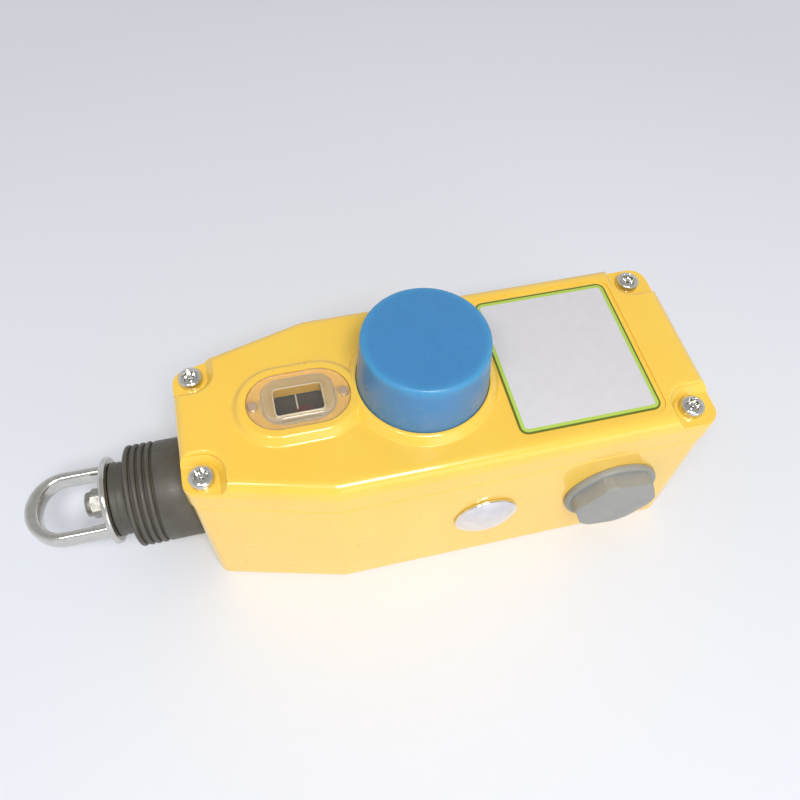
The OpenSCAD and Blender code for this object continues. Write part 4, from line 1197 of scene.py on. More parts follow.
@dataclass
class Base:
    """Lower casting: walls, floor, nose, entries and the bosses inside."""

    shop: Workshop
    sizes: HousingSizes
    entry_x: float = 51.5
    entry_r: float = 10.0
    entry_depth: float = 7.5
    boss_wall: float = 3.0
    nose: tuple[float, float, float] = (13.6, 8.03, 7.0)
    dome: Flat = (10.2, 8.05)
    fixing: tuple[float, float, float] = (52.0, 16.0, 2.5)
    fixing_boss: float = 5.0
    chassis_bosses: tuple[Flat, ...] = ((3.0, 17.0), (3.0, -17.0), (43.9, 18.0), (43.9, -18.0))
    earth_x: float = 66.7

    def fixings(self) -> list[Flat]:
        """Middles of the four fixing holes."""
        x, y, _ = self.fixing
        return [(sx * x, sy * y) for sx in (-1, 1) for sy in (-1, 1)]

    def inner(self) -> list[Piece]:
        """Posts and bosses that stand inside the walls.

        Returns:
            The solids, still separate.
        """
        s = self.sizes
        posts = [rod("post", s.post, 1.0, s.base_top - 0.02, 40, p) for p in s.screws]
        bosses = [rod("fixing_boss", self.fixing_boss, 1.0, 12.0, 40, p) for p in self.fixings()]
        stands = [rod("stand", 3.4, 1.0, 8.0, 32, p) for p in self.chassis_bosses]
        stands.append(rod("earth_stand", 4.0, 1.0, 8.0, 32, (self.earth_x, 0.0)))
        return posts + bosses + stands

    def entries(self, radius: float, start: float, end: float) -> list[Piece]:
        """Cylinders on the three entry axes.

        Args:
            radius: Radius of the cylinders.
            start: Depth at which they start, inwards.
            end: How far they reach past the wall, outwards.

        Returns:
            The cylinders of the front, rear and end entries.
        """
        s = self.sizes
        places = [Heading.FRONT.at(self.entry_x, -s.outline.half_width, s.axis_z),
                  Heading.REAR.at(self.entry_x, s.outline.half_width, s.axis_z),
                  Heading.CABLE.at(s.outline.cable_end, 0.0, s.axis_z)]
        return [rod("entry", radius, -start, end, 72, place=place) for place in places]

    def build(self) -> None:
        """Builds the base casting and paints it."""
        s = self.sizes
        foot, (over, band) = s.foot_round, s.band
        shell = s.outline.solid("housing_shell", [
            (foot, 0.0), (foot * 0.62, foot * 0.08), (foot * 0.3, foot * 0.3), (foot * 0.08, foot * 0.62),
            (0.0, foot), (0.0, s.base_top - band), (over * 0.3, s.base_top - band * 0.55),
            (over, s.base_top)])
        carve(shell, Cut.REMOVE, s.outline.solid("hollow", [(s.wall, s.floor), (s.wall, s.base_top + 1)]))
        inner = self.inner() + self.entries(self.entry_r + self.boss_wall, self.entry_depth, -1.0)
        limit = s.outline.solid("inner_limit", [(1.0, 1.0), (1.0, s.base_top - 0.01)])
        carve(inner[0], Cut.ADD, *inner[1:])
        carve(inner[0], Cut.KEEP, limit)
        outer_r, inner_r, length = self.nose
        nose_place = Heading.ROPE.at(s.outline.rope_end + 1, 0.0, s.axis_z)
        carve(shell, Cut.ADD, inner[0], rod("nose", outer_r, 0.0, length + 1, 96, place=nose_place))
        dome_x, dome_r = self.dome
        holes = [rod("nose_bore", inner_r, -6.0, length + 2, 72, place=nose_place),
                 rod("dome_hole", dome_r, -6.0, 2.0, 64,
                     place=Heading.FRONT.at(dome_x, -s.outline.half_width, s.axis_z))]
        holes += self.entries(self.entry_r, self.entry_depth + 1, 1.0)
        holes += [rod("screw_hole", s.screw_hole, 39.8, 60.0, 32, p) for p in s.screws]
        holes += [rod("fixing_hole", self.fixing[2], -1.0, 10.0, 32, p) for p in self.fixings()]
        holes += [rod("chassis_hole", 1.65, 2.0, 12.0, 24, p) for p in self.chassis_bosses]
        holes.append(rod("earth_hole", 2.15, 1.4, 12.0, 24, (self.earth_x, 0.0)))
        carve(holes[0], Cut.ADD, *holes[1:])
        carve(shell, Cut.REMOVE, holes[0])
        self.shop.fit(smooth(shell, 0.3, 2, 40.0), "paint", Body.HOUSING, "housing_base")


@dataclass
class Lid:
    """Upper casting: raised panel, screw corners, window pad, button boss and label recess."""

    shop: Workshop
    sizes: HousingSizes
    lens: Flat = (29.5, 18.4)
    pad_h: float = 2.4
    sight: Flat = (13.6, 8.6)
    peg: tuple[float, float] = (12.925, 1.28)
    boss: tuple[float, float, float] = (22.4, 19.4, 2.5)
    boss_curve: tuple[float, float, float] = (0.35, 1.6, 52.0)
    guide: tuple[float, float, float] = (9.26, 6.09, 54.3)
    well_z: float = 59.9
    well_floor: float = 2.6
    label: tuple[float, float, float, float, float] = (39.6, 42.8, 48.2, 2.6, 1.5)
    gasket_seat: tuple[float, float, float] = (0.7, 1.9, 53.5)
    pocket: Flat = (0.7, 1.3)

    def corner_blocks(self, levels: Sequence[Flat]) -> list[Piece]:
        """Blocks over the screw corners, each with a round inner side.

        Args:
            levels: Radius round the screw and height of each level.

        Returns:
            The four blocks.
        """
        blocks = []
        for px, py in self.sizes.screws:
            sx, sy = math.copysign(1, px), math.copysign(1, py)
            rings = []
            for radius, z in levels:
                arc = [(radius * math.cos(a), radius * math.sin(a))
                       for a in (math.radians(180 + 90 * k / 20) for k in range(21))]
                loop = arc + [(30.0, -radius), (30.0, 30.0), (-radius, 30.0)]
                flat = [(px + sx * x, py + sy * y, z) for x, y in loop]
                rings.append(flat if sx * sy > 0 else flat[::-1])
            blocks.append(lofted("corner_block", rings))
        return blocks

    def shell(self) -> Piece:
        """Outer skin: a flush flank, a rounded panel and four free screw corners, hollow below.

        Returns:
            The shell, without its posts and openings.
        """
        s = self.sizes
        quarter = even_turns(8)
        edge = [(s.pad_round * (1 - math.cos(a)) - s.over, s.rim - s.pad_round * (1 - math.sin(a)))
                for a in quarter[::2]]
        body = s.outline.solid("lid_casting", [(-s.over, s.lid_low)] + edge)
        panel = round_over(s.lean - s.over, s.panel, s.panel_round, quarter)
        raised = s.outline.solid("raised_panel", [(0.02 - s.over, s.rim - s.pad_round - 0.3)] + panel)
        wide = s.screw_cut + s.screw_draft
        fillet, lip = self.pocket
        pocket = [(s.screw_cut - fillet + fillet * math.sin(a), s.rim + fillet * (1 - math.cos(a)))
                  for a in quarter[::2]]
        pocket += round_over(wide, s.panel, lip, quarter)
        carve(raised, Cut.REMOVE, *self.corner_blocks(pocket + [(wide + lip, s.panel + 1)]))
        carve(body, Cut.ADD, raised)
        ceiling = s.panel - s.skin
        hollow = s.outline.solid("lid_hollow", [(s.skin + s.lean, s.lid_low - 1), (s.skin + s.lean, ceiling)])
        inner = s.screw_cut + s.skin
        carve(hollow, Cut.REMOVE, *self.corner_blocks([(inner, s.lid_low - 2), (inner, s.panel)]))
        low = s.outline.solid("lid_low_hollow", [(s.skin, s.lid_low - 1.1), (s.skin, s.rim - s.skin)])
        carve(hollow, Cut.ADD, low)
        carve(body, Cut.REMOVE, hollow)
        posts = [rod("lid_post", s.post, s.lid_low + 0.01, s.rim - 1.0, 40, p) for p in s.screws]
        carve(posts[0], Cut.ADD, *posts[1:])
        carve(posts[0], Cut.KEEP, s.outline.solid("post_limit", [(1.0, s.lid_low), (1.0, s.rim - 0.9)]))
        return carve(body, Cut.ADD, posts[0])

    def window_pad(self) -> Piece:
        """Raised pad round the lens, with a soft foot; the button's well cuts into it.

        Returns:
            The pad.
        """
        s = self.sizes
        levels = [(5.2, -1.0), (4.9, 0.0), (4.45, 0.09), (4.0, 0.33), (3.6, 0.72), (3.25, 1.18), (2.92, 1.62),
                  (2.56, 2.02), (2.14, 2.29), (1.7, self.pad_h)]
        return stacked("window_pad", lambda inset: obround(*self.lens, inset),
                       [(-reach, s.panel + z) for reach, z in levels], s.window_x)

    def button_boss(self) -> Piece:
        """Boss that slopes up to the button and ends in a round lip, with its floor under the well.

        Returns:
            The boss, without its well.
        """
        s = self.sizes
        foot, _, height = self.boss
        fillet, lip, steepest = self.boss_curve
        slope = even_turns(8, steepest)
        last = slope[-1]
        run = (height - (lip + fillet) * (1 - math.cos(last))) / math.tan(last)
        crown = foot - (fillet + lip) * math.sin(last) - run
        flare = [(foot - fillet * math.sin(a), s.panel + fillet * (1 - math.cos(a))) for a in slope]
        flare += [(crown + lip * math.sin(a), s.panel + height - lip * (1 - math.cos(a)))
                  for a in reversed(slope)]
        floor = self.well_z - self.well_floor
        profile = [(0.0, floor), (foot - 1.5, floor), (foot, s.panel - s.skin), *flare,
                   (0.0, s.panel + height)]
        return turned("button_boss", profile, column(s.button_x), 128)

    def build(self) -> None:
        """Builds the lid casting and paints it."""
        s = self.sizes
        body = self.shell()
        label_x, length, width, corner, margin = self.label
        boss_foot, well_r, boss_h = self.boss
        top = s.panel + boss_h
        button = (s.button_x, 0.0)
        recess = prism("label_recess", shifted(rounded_rectangle(
            length + 2 * margin, width + 2 * margin, corner + margin), label_x), s.panel - 0.4, s.panel + 5)
        carve(recess, Cut.REMOVE, rod("boss_keep", boss_foot - 0.01, s.panel - 2, s.panel + 9, 128, button))
        carve(body, Cut.REMOVE, recess)
        pad = self.window_pad()
        carve(pad, Cut.REMOVE, rod("pad_clear", well_r, s.panel - 3, s.panel + 8, 128, button))
        guide_out, guide_in, guide_low = self.guide
        guide_top = top + 1.2
        carve(body, Cut.ADD, pad, self.button_boss())
        well = turned("well", [(guide_out, self.well_z), (well_r, self.well_z), (well_r, top + 4),
                               (guide_out, top + 4)], column(s.button_x), 128)
        guide = rod("guide", guide_out, guide_low, guide_top, 72, button)
        seat, sight, under = obround(*self.lens, -0.15), rounded_rectangle(*self.sight, 1.0), s.panel - s.skin
        tools = [rod("bush_bore", guide_in, guide_low - 1, guide_top + 1, 64, button),
                 prism("lens_seat", shifted(seat, s.window_x), s.panel + self.pad_h - 2.0, s.panel + 8),
                 prism("sight", shifted(sight, s.window_x), under - 1, s.panel + 8)]
        tools += [rod("peg_hole", self.peg[1], under + 1, s.panel + 8, 32,
                      (s.window_x + side * self.peg[0], 0.0)) for side in (-1, 1)]
        tools += [rod("screw_hole", s.screw_hole, s.lid_low - 1, s.rim + 2, 32, p) for p in s.screws]
        carve(body, Cut.REMOVE, well)
        carve(body, Cut.ADD, guide)
        carve(body, Cut.REMOVE, *tools)
        outer, inner, seat_top = self.gasket_seat
        groove = s.outline.solid("gasket_groove", [(outer, s.lid_low - 1), (outer, seat_top)])
        core = s.outline.solid("groove_core", [(inner, s.lid_low - 2), (inner, seat_top + 1)])
        carve(groove, Cut.REMOVE, core)
        carve(body, Cut.REMOVE, groove)
        self.shop.fit(smooth(body, angle=32.0, flat=True), "paint", Body.HOUSING, "lid")


@dataclass
class LidScrews:
    """Four M4 security screws: cap heads with a six-lobe socket and a centre pin."""

    shop: Workshop
    sizes: HousingSizes
    head_r: float = 3.5
    head_h: float = 2.8
    shank_r: float = 1.95
    length: float = 16.0
    socket_r: float = 1.95
    lobe: float = 0.34
    socket_depth: float = 1.6
    pin_r: float = 0.62
    seed: int = 11

    def screw(self) -> Piece:
        """One screw with its seat at the origin, head upwards.

        Returns:
            The screw.
        """
        steps = 72
        angles = [math.tau * k / steps for k in range(steps)]

        def circle(radius: float, z: float) -> list[Point]:
            """Round ring."""
            return [(radius * math.cos(a), radius * math.sin(a), z) for a in angles]

        def star(scale: float, z: float) -> list[Point]:
            """Six-lobe ring."""
            reach = [(self.socket_r + self.lobe * math.cos(6 * a)) * scale for a in angles]
            return [(r * math.cos(a), r * math.sin(a), z) for r, a in zip(reach, angles)]

        r, h, floor = self.head_r, self.head_h, self.head_h - self.socket_depth
        shank, pin = self.shank_r, self.pin_r
        crown = ((0.0, 1.15), (0.08, 0.8), (0.28, 0.5), (0.62, 0.28), (1.0, 0.13))
        rings = [circle(shank * 0.6, -self.length), circle(shank, -self.length + 0.8), circle(shank, -0.05),
                 circle(r - 0.25, 0.0), circle(r, 0.25),
                 *(circle(r - inset, h - drop) for inset, drop in crown),
                 star(1.06, h - 0.06), star(0.97, h - 0.2), star(0.95, floor), circle(pin + 0.1, floor),
                 circle(pin, h - 0.55), circle(pin * 0.6, h - 0.4)]
        return lofted("lid_screw", rings)

    def build(self, tree: Tree) -> None:
        """Sets one screw on each corner.

        Args:
            tree: The tree that repeats a piece on points.
        """
        template = smooth(self.screw(), angle=40.0)
        points = [(x, y, self.sizes.rim) for x, y in self.sizes.screws]
        finish = self.shop.palette.material("bright")
        screws = grown("lid_security_screws", tree, {
            "Piece": template, "Turn": math.tau, "Seed": self.seed, "Finish": finish}, points)
        discard(template)
        self.shop.fit(screws, "bright", Body.HOUSING, "lid_screws")


# ---- button, window and label ----


@dataclass
class ResetButton:
    """Blue cap on its steel stem, with the return spring below it."""

    shop: Workshop
    x: float = -4.3
    top_r: float = 18.0
    foot_r: float = 19.2
    top_z: float = 84.1
    foot_z: float = 64.6
    edge: float = 1.3
    wall: float = 2.0
    cap: float = 3.0
    stem_r: float = 4.03
    hub: Flat = (2.4, 8.0)
    spring: tuple[float, float, float] = (10.86, 0.8, 5.0)
    spring_low: float = 60.1

    def cap_profile(self, under: float) -> list[Flat]:
        """Outline of the cap from its open foot, over its top, to the socket for the stem.

        Args:
            under: Height of the cap's inner ceiling.

        Returns:
            The outline as (radius, height).
        """
        r, top, foot = self.foot_r, self.top_z, self.foot_z
        hub_wall, hub_depth = self.hub
        hub_r, hub_z = self.stem_r + hub_wall, under - hub_depth
        edge = [(self.top_r - self.edge * (1 - math.cos(a)), top - self.edge * (1 - math.sin(a)))
                for a in even_turns(8)]
        return [(r - self.wall, foot), (r - self.wall + 0.3, foot), (r - 0.35, foot), (r, foot + 0.35),
                (r, foot + 1.4), *edge, (self.top_r * 0.8, top), (self.top_r * 0.4, top), (0.0, top),
                (0.0, under + 1), (self.stem_r, under + 1), (self.stem_r, hub_z), (hub_r, hub_z),
                (hub_r + 0.2, under), (self.top_r - self.wall, under)]

    def build(self, tree: Tree) -> None:
        """Builds the cap and the spring.

        Args:
            tree: The tree that winds springs.
        """
        under = self.top_z - self.cap
        cap = turned("reset_cap", self.cap_profile(under), column(self.x), 160)
        self.shop.fit(smooth(cap, angle=40.0), "button", Body.BUTTON, "reset_button")
        low, high = self.spring_low, under - 0.1
        spring = Coil(*self.spring, high - low).wind(
            "return_spring", tree, self.shop.palette.material("steel"), Heading.UP.at(self.x, 0.0, low))
        self.shop.join(spring, "steel", Body.BUTTON, "button_spring", ((self.x, 0, low), (self.x, 0, high)))


@dataclass
class SightWindow:
    """Clear lens over the indicator flag, held by two pegs."""

    shop: Workshop
    x: float = -40.4
    top: float = 66.1
    flange: Flat = (29.5, 18.4)
    flange_t: float = 1.4
    bump: tuple[float, float, float, float] = (20.6, 14.6, 4.8, 1.5)
    # size of the near-white bead that paints the highlight round the sight opening
    lip: tuple[float, float, float, float] = (14.0, 9.0, 1.2, 0.2)
    peg: Flat = (12.925, 1.25)
    ribs: tuple[int, float, float] = (18, 0.62, 0.28)

    def comb(self) -> list[Flat]:
        """Outline of the row of fine ribs on the front of the lens's raised centre.

        Returns:
            The points of the outline.
        """
        count, pitch, depth = self.ribs
        front, end = self.bump[1] / 2 - 0.3, count * pitch / 2
        comb = [(-end, -front + 1.0)]
        for k in range(count):
            comb += [((k - count / 2 + part) * pitch, -front - out)
                     for part, out in ((0.25, 0), (0.5, depth), (0.75, 0))]
        return comb + [(end, -front + 1.0)]

    def gasket_lip(self, top: float) -> Piece:
        """Near-white round bead inside the lens, under a given height, that paints the highlight along the
        edge of the sight opening.

        Args:
            top: Height of the bead's top.

        Returns:
            The bead.
        """
        length, width, corner, wire = self.lip
        rings = []
        for k in range(8):
            out, up = wire * math.cos(math.tau * k / 8), wire * math.sin(math.tau * k / 8)
            outline = shifted(rounded_rectangle(length + 2 * out, width + 2 * out, corner + out), self.x)
            rings.append([(x, y, top - wire + up) for x, y in outline])
        return lofted("gasket_lip", rings, hoop=True)

    def build(self) -> None:
        """Builds the lens and dresses what it covers."""
        high = self.top - 0.1
        low = high - self.flange_t
        edge = ((0.1, low), (0.0, low + 0.1), (0.0, high - 0.35), (0.1, high - 0.1), (0.35, high))
        lens = stacked("sight_lens", lambda inset: obround(*self.flange, inset), edge, self.x)
        length, width, corner, height = self.bump
        dome = ((-0.25, -0.2), (-0.1, 0.05), (0.12, 0.4), (0.35, 0.85), (0.65, 1.15), (1.1, height - 0.12),
                (1.7, height - 0.1))
        carve(lens, Cut.ADD, stacked(
            "lens_dome", lambda o: rounded_rectangle(length - 2 * o, width - 2 * o, corner - o * 0.6, 12),
            [(inset, high + z) for inset, z in dome], self.x))
        carve(lens, Cut.ADD, prism("grip_ribs", shifted(self.comb(), self.x), high - 0.05, high + 0.95))
        away, radius = self.peg
        carve(lens, Cut.REMOVE, *[
            rod("peg_bore", radius + 0.03, low - 1, high + 2, 40, (self.x + side * away, 0.0))
            for side in (-1, 1)])
        self.shop.fit(smooth(lens, angle=38.0), "lens", Body.HOUSING, "window_lens")
        # near-white bead: a painted highlight round the sight opening
        self.shop.fit(smooth(self.gasket_lip(low - 0.06), angle=80.0), "lip", Body.HOUSING)
        self.shop.keep("silicone", "window_gasket")
        self.shop.keep("peg", "window_pegs")
        self.shop.keep("flag", "indicator_flag")


@dataclass
class Label:
    """Printed foil in its recess, left without text."""

    shop: Workshop
    x: float = 39.6
    length: float = 42.8
    width: float = 48.2
    corner: float = 2.6
    low: float = 63.35
    thick: float = 0.3

    def build(self) -> None:
        """Builds the foil with a fine rounded edge."""
        top = self.low + self.thick
        length, width, corner = self.length, self.width, self.corner
        foil = stacked("label_foil", lambda o: rounded_rectangle(length - 2 * o, width - 2 * o, corner - o),
                       ((0.0, self.low), (0.0, top - 0.08), (0.03, top - 0.02), (0.1, top)), self.x)
        self.shop.fit(smooth(foil, angle=50.0), "label", Body.HOUSING, "label_plate")


# ---- rope end ----


@dataclass
class Gaiter:
    """Rubber boot: plain sleeve, four ribs and a neck."""

    shop: Workshop
    axis_z: float = 28.0
    sleeve_r: float = 15.7
    wall: float = 1.8
    sleeve_x: float = -75.2
    rib_x: float = -86.4
    ribs: int = 4
    pitch: float = 2.12
    depth: float = 1.1
    neck_r: float = 11.2
    tip_x: float = -98.9
    skirt: tuple[float, float, float] = (-100.35, 11.1, 11.55)
    stud_r: float = 2.56
    still: float = 3.0

    def profile(self) -> list[Flat]:
        """Outline of the boot as (radius, distance along the shaft), rope end last.

        Returns:
            The points of the outline.
        """
        r, groove = self.sleeve_r, self.sleeve_r - self.depth
        wall, first = self.wall, self.sleeve_x
        points = [(r - wall, first), (r - 0.25, first), (r, first - 0.25), (r, self.rib_x + 0.45),
                  (r - 0.12, self.rib_x + 0.15)]
        low, half = groove + 0.25, (self.pitch - 0.6) / 2
        for i in range(self.ribs):
            start = self.rib_x - 0.1 - i * self.pitch
            points += [(groove + 0.1, start - 0.1), (groove, start - 0.3), (groove + 0.1, start - 0.5)]
            arch = [(low + (r + 0.2 - low) * math.sin(a) ** 0.6, start - 0.5 - half + half * math.cos(a))
                    for a in even_turns(8, 180.0)[1:-1]]
            points += [(groove + 0.2, start - 0.5), *arch, (groove + 0.2, start - 0.5 - 2 * half)]
        neck, n, tip = self.rib_x - self.ribs * self.pitch, self.neck_r, self.tip_x
        end, inside, outside = self.skirt
        points += [(r - 0.6, neck - 0.1), (n + 1.0, neck - 0.75), (n + 0.3, neck - 0.95), (n, neck - 1.3),
                   (n, tip + 1.6), (n + 0.15, tip + 1.25), (n + 0.2, tip + 0.8), (n + 0.05, tip + 0.5),
                   (n, tip + 0.1), (outside, tip - 0.35), (outside, end + 0.2), (outside - 0.15, end),
                   (inside, end), (inside, tip), (self.stud_r, tip), (self.stud_r, tip + wall),
                   (n - wall, tip + wall), (n - wall, neck + 0.4), (groove - wall, neck + 1.6),
                   (groove - wall, self.rib_x - 0.6), (r - wall, self.rib_x + 1.0)]
        return points

    def build(self) -> None:
        """Builds the boot and dresses it, leaving it with no parent."""
        flat = [(radius, -x) for radius, x in self.profile()]
        boot = smooth(turned("rubber_boot", flat, Heading.ROPE.at(0.0, 0.0, self.axis_z), 128), angle=60.0)
        self.shop.join(boot, "gaiter", Body.SHAFT, "gaiter", (
            (self.rib_x + self.still, 0, self.axis_z), (self.tip_x + self.still, 0, self.axis_z)))


@dataclass
class PullEye:
    """Washer, spacer, swivelling eye with its bow, nut and threaded stud."""

    shop: Workshop
    axis_z: float = 28.0
    washer: tuple[float, float, float] = (-98.95, 0.7, 10.4)
    spacer: tuple[float, float, float] = (-99.7, 0.7, 11.0)
    eye: tuple[float, float, float] = (-100.5, 2.1, 13.7)
    bow_reach: float = 24.9
    bow_half: float = 11.7
    leg: float = 3.0
    crown: float = 4.6
    bow_h: float = 6.5
    bow_round: Flat = (0.62, 0.5)
    nut_x: float = -102.7
    nut_af: float = 8.0
    nut_h: float = 5.0
    collar_h: float = 1.7
    stud_r: float = 2.5

    def plate(self, name: str, start: float, thick: float, radius: float, hole: float, edge: float) -> Piece:
        """Round plate on the shaft's axis, pointing to the rope."""
        profile = rounded([(hole, 0.0), (radius, 0.0), (radius, thick), (hole, thick)], edge, 5)
        return turned(name, profile, Heading.ROPE.at(start, 0.0, self.axis_z), 128)

    def section(self, thick: float, steps: int = 28) -> list[Flat]:
        """Section of the bow: a flat bar with well-rounded edges.

        Args:
            thick: Thickness of the bar.
            steps: Points round it.

        Returns:
            The points as (outwards, upwards).
        """
        across, along = self.bow_round
        turns = [(math.cos(math.tau * k / steps), math.sin(math.tau * k / steps)) for k in range(steps)]
        return [(thick / 2 * math.copysign(abs(c) ** across, c),
                 self.bow_h / 2 * math.copysign(abs(s) ** along, s)) for c, s in turns]

    def bow(self) -> Piece:
        """Bow of the eye: two legs and a round crown that is thicker at its middle.

        Returns:
            The bow.
        """
        foot = self.eye[0] - self.eye[1] + 0.6
        crown_x = self.eye[0] - self.eye[1] - self.bow_reach + self.bow_half

        def ring(cx: float, angle: float, thick: float) -> list[Point]:
            """One ring of the bow.

            Args:
                cx: Place of the ring's centre along X.
                angle: Heading of the ring round that centre.
                thick: Thickness of the bow there.

            Returns:
                The points of the ring.
            """
            c, s = math.cos(angle), math.sin(angle)
            middle = self.bow_half - thick / 2
            return [(cx + (middle + u) * c, (middle + u) * s, self.axis_z + w)
                    for u, w in self.section(thick)]

        rings = [ring(foot + (crown_x - foot) * k / 5, math.pi / 2, self.leg) for k in range(5)]
        for k in range(41):
            turn = math.pi * k / 40
            thick = self.leg + (self.crown - self.leg) * math.sin(turn) ** 2
            rings.append(ring(crown_x, math.pi / 2 + turn, thick))
        rings += [ring(crown_x + (foot - crown_x) * k / 5, 3 * math.pi / 2, self.leg) for k in range(1, 6)]
        return lofted("bow", rings)

    def nut(self) -> Piece:
        """Hexagon nut with chamfered corners and its lock collar.

        Returns:
            The nut.
        """
        half, high, corner = self.nut_af / 2, self.nut_h, self.nut_af / math.sqrt(3)
        place = Heading.ROPE.at(self.nut_x, 0.0, self.axis_z)
        nut = prism("eye_lock_nut", hexagon(self.nut_af), 0.0, high, place)
        cone = [(0.0, -0.1), (half + 0.1, -0.1), (corner + 0.2, 0.5), (corner + 0.2, high - 0.5),
                (half - 0.1, high + 0.05), (0.0, high + 0.05)]
        carve(nut, Cut.KEEP, turned("nut_chamfer", cone, place, 96))
        end, radius = high + self.collar_h, half - 0.2
        collar = [(0.0, 1.0), (radius, 1.0), (radius, end - 0.45), (radius - 0.2, end - 0.15),
                  (radius - 0.6, end), (0.0, end)]
        carve(nut, Cut.ADD, turned("collar", collar, place, 96))
        return carve(nut, Cut.REMOVE, rod("nut_bore", self.stud_r + 0.03, -1.0, end + 1, 64, place=place))

    def build(self) -> None:
        """Builds the eye and what holds it."""
        fit = self.shop.fit
        for name, node, key, sizes, edge in (("boot_washer", "gaiter_washer", "bright", self.washer, 0.12),
                                             ("swivel_ring", "swivel_spacer", "black", self.spacer, 0.15)):
            fit(smooth(self.plate(name, *sizes, self.stud_r + 0.03, edge), angle=45.0), key, Body.SHAFT, node)
        eye = self.plate("swivel_eye", *self.eye, self.stud_r + 0.06, 0.9)
        carve(eye, Cut.ADD, self.bow())
        fit(smooth(eye, angle=42.0), "bright", Body.EYE, "pull_eye")
        fit(smooth(self.nut(), angle=35.0), "nut", Body.SHAFT, "eye_nut")
        self.shop.keep("steel", "tension_shaft")


# ---- plugs ----


@dataclass
class Plugs:
    """Two hexagonal blanking plugs and the domed plug in the side walls."""

    shop: Workshop
    sizes: HousingSizes
    entry_x: float = 51.5
    entry_r: float = 10.0
    entry_depth: float = 7.5
    flange_r: float = 15.0
    flange_t: float = 2.0
    flats: float = 25.0
    corner_r: float = 13.75
    hex_h: float = 4.5
    seal_seat: tuple[float, float, float] = (12.1, 13.8, 1.32)
    turn: float = -10.0
    dome_x: float = 10.2
    dome_r: float = 10.0
    dome_rim: float = 1.2
    dome_h: float = 2.7
    dome_thread: float = 7.9

    def blanking_plug(self, name: str, place: Matrix) -> Piece:
        """One blanking plug.

        Args:
            name: Name of the piece.
            place: Its place on the wall, pointing outwards.

        Returns:
            The plug.
        """
        r, t, end, depth = self.flange_r, self.flange_t, self.flange_t + self.hex_h, self.entry_depth
        flange = [(0.0, 0.05), (r - 0.1, 0.05), (r, 0.15), (r, t * 0.5), (r - 0.12, t * 0.75),
                  (r - 0.45, t * 0.95), (r - 0.8, t), (0.0, t)]
        plug = turned(name, flange, place, 128)
        head = prism("plug_head", hexagon(self.flats, self.turn), 0.5, end, place)
        cone = [(0.0, 0.0), (self.corner_r, 0.0), (self.corner_r, end - 0.75), (self.flats / 2 + 0.6, end),
                (0.0, end)]
        carve(head, Cut.KEEP, turned("plug_chamfer", cone, place, 128))
        smooth(head, 0.25, 2, 30.0)
        thread = rod("plug_thread", self.entry_r - 0.1, -depth, 0.5, 96, place=place)
        carve(thread, Cut.REMOVE, rod("plug_bore", self.entry_r - 2.5, -depth - 1, -1.0, 64, place=place))
        carve(plug, Cut.ADD, head, thread)
        inner, outer, seat = self.seal_seat
        groove = [(inner, -1.0), (outer, -1.0), (outer, seat), (inner, seat)]
        carve(plug, Cut.REMOVE, turned("seal_seat", groove, place, 96))
        return smooth(plug, angle=30.0)

    def build(self) -> None:
        """Builds the three plugs."""
        wall, z = self.sizes.outline.half_width, self.sizes.axis_z
        for end, heading, side in (("front", Heading.FRONT, -1), ("rear", Heading.REAR, 1)):
            plug = self.blanking_plug(f"blanking_plug_{end}", heading.at(self.entry_x, side * wall, z))
            self.shop.fit(plug, "plug", Body.HOUSING, f"conduit_plug_{end}")
        r, rim, thread = self.dome_r, self.dome_rim, self.dome_thread
        shoulder, top = r - 0.3, rim + self.dome_h
        ball = (shoulder ** 2 + self.dome_h ** 2) / (2 * self.dome_h)
        half = math.asin(shoulder / ball)
        cap = [(ball * math.sin(a), top - ball * (1 - math.cos(a)))
               for a in (half * (1 - k / 20) for k in range(20))]
        profile = [(0.0, -6.9), (thread, -6.9), (thread, 0.05), (r - 0.4, 0.05), (r - 0.1, 0.15), (r, 0.4),
                   (r, rim - 0.25), (r - 0.08, rim - 0.08), *cap, (0.0, top)]
        dome = turned("domed_plug", profile, Heading.FRONT.at(self.dome_x, -wall, z), 128)
        self.shop.fit(smooth(dome, angle=40.0), "dome", Body.HOUSING, "dome_plug")
        self.shop.keep("seal", "plug_seals")
        self.shop.keep("zinc", "dome_nut")


# ---- inside ----


@dataclass
class Mechanism:
    """Springs, cam, latch and contacts inside the housing."""

    shop: Workshop
    axis_z: float = 28.0
    main_ends: Flat = (-69.4, -24.1)
    main_spring: Coil = Coil(8.0, 1.25, 9.0, 45.3)
    latch_spring: Coil = Coil(2.75, 0.45, 4.0, 4.6)
    pivot: Point = (10.0, -3.7, 46.0)

    def build(self, tree: Tree) -> None:
        """Winds the springs and dresses the pieces that keep their shape.

        Args:
            tree: The tree that winds springs.
        """
        keep = self.shop.keep
        steel = self.shop.palette.material("steel")
        start, end = self.main_ends
        place = Heading.CABLE.at(start, 0.0, self.axis_z)
        spring = self.main_spring.wind("tension_spring", tree, steel, place)
        self.shop.join(spring, "steel", Body.SHAFT, "main_spring",
                       ((start, 0, self.axis_z), (end, 0, self.axis_z)))
        torsion = self.latch_spring.wind("lever_spring", tree, steel, Heading.FRONT.at(*self.pivot))
        self.shop.fit(torsion, "steel", Body.HOUSING, "latch_spring")
        keep("seal", "lid_gasket", "stem_seal", "shaft_wiper")
        keep("steel", "button_stem", "stem_clip", "latch_lever", "latch_pivot", "pivot_clips", "collar_pin",
             "cam_pin")
        keep("zinc", "spring_collar", "chassis", "chassis_screws", "block_screws", "terminal_screws",
             "indicator_arm")
        keep("bronze", "button_bush", "shaft_bush", "rear_guide", "earth_screw")
        keep("black", "wedge_cam")
        keep("block", "contact_block_left", "contact_block_right")
        keep("white", "contact_plunger_left", "contact_plunger_right")


# ---- studio ----


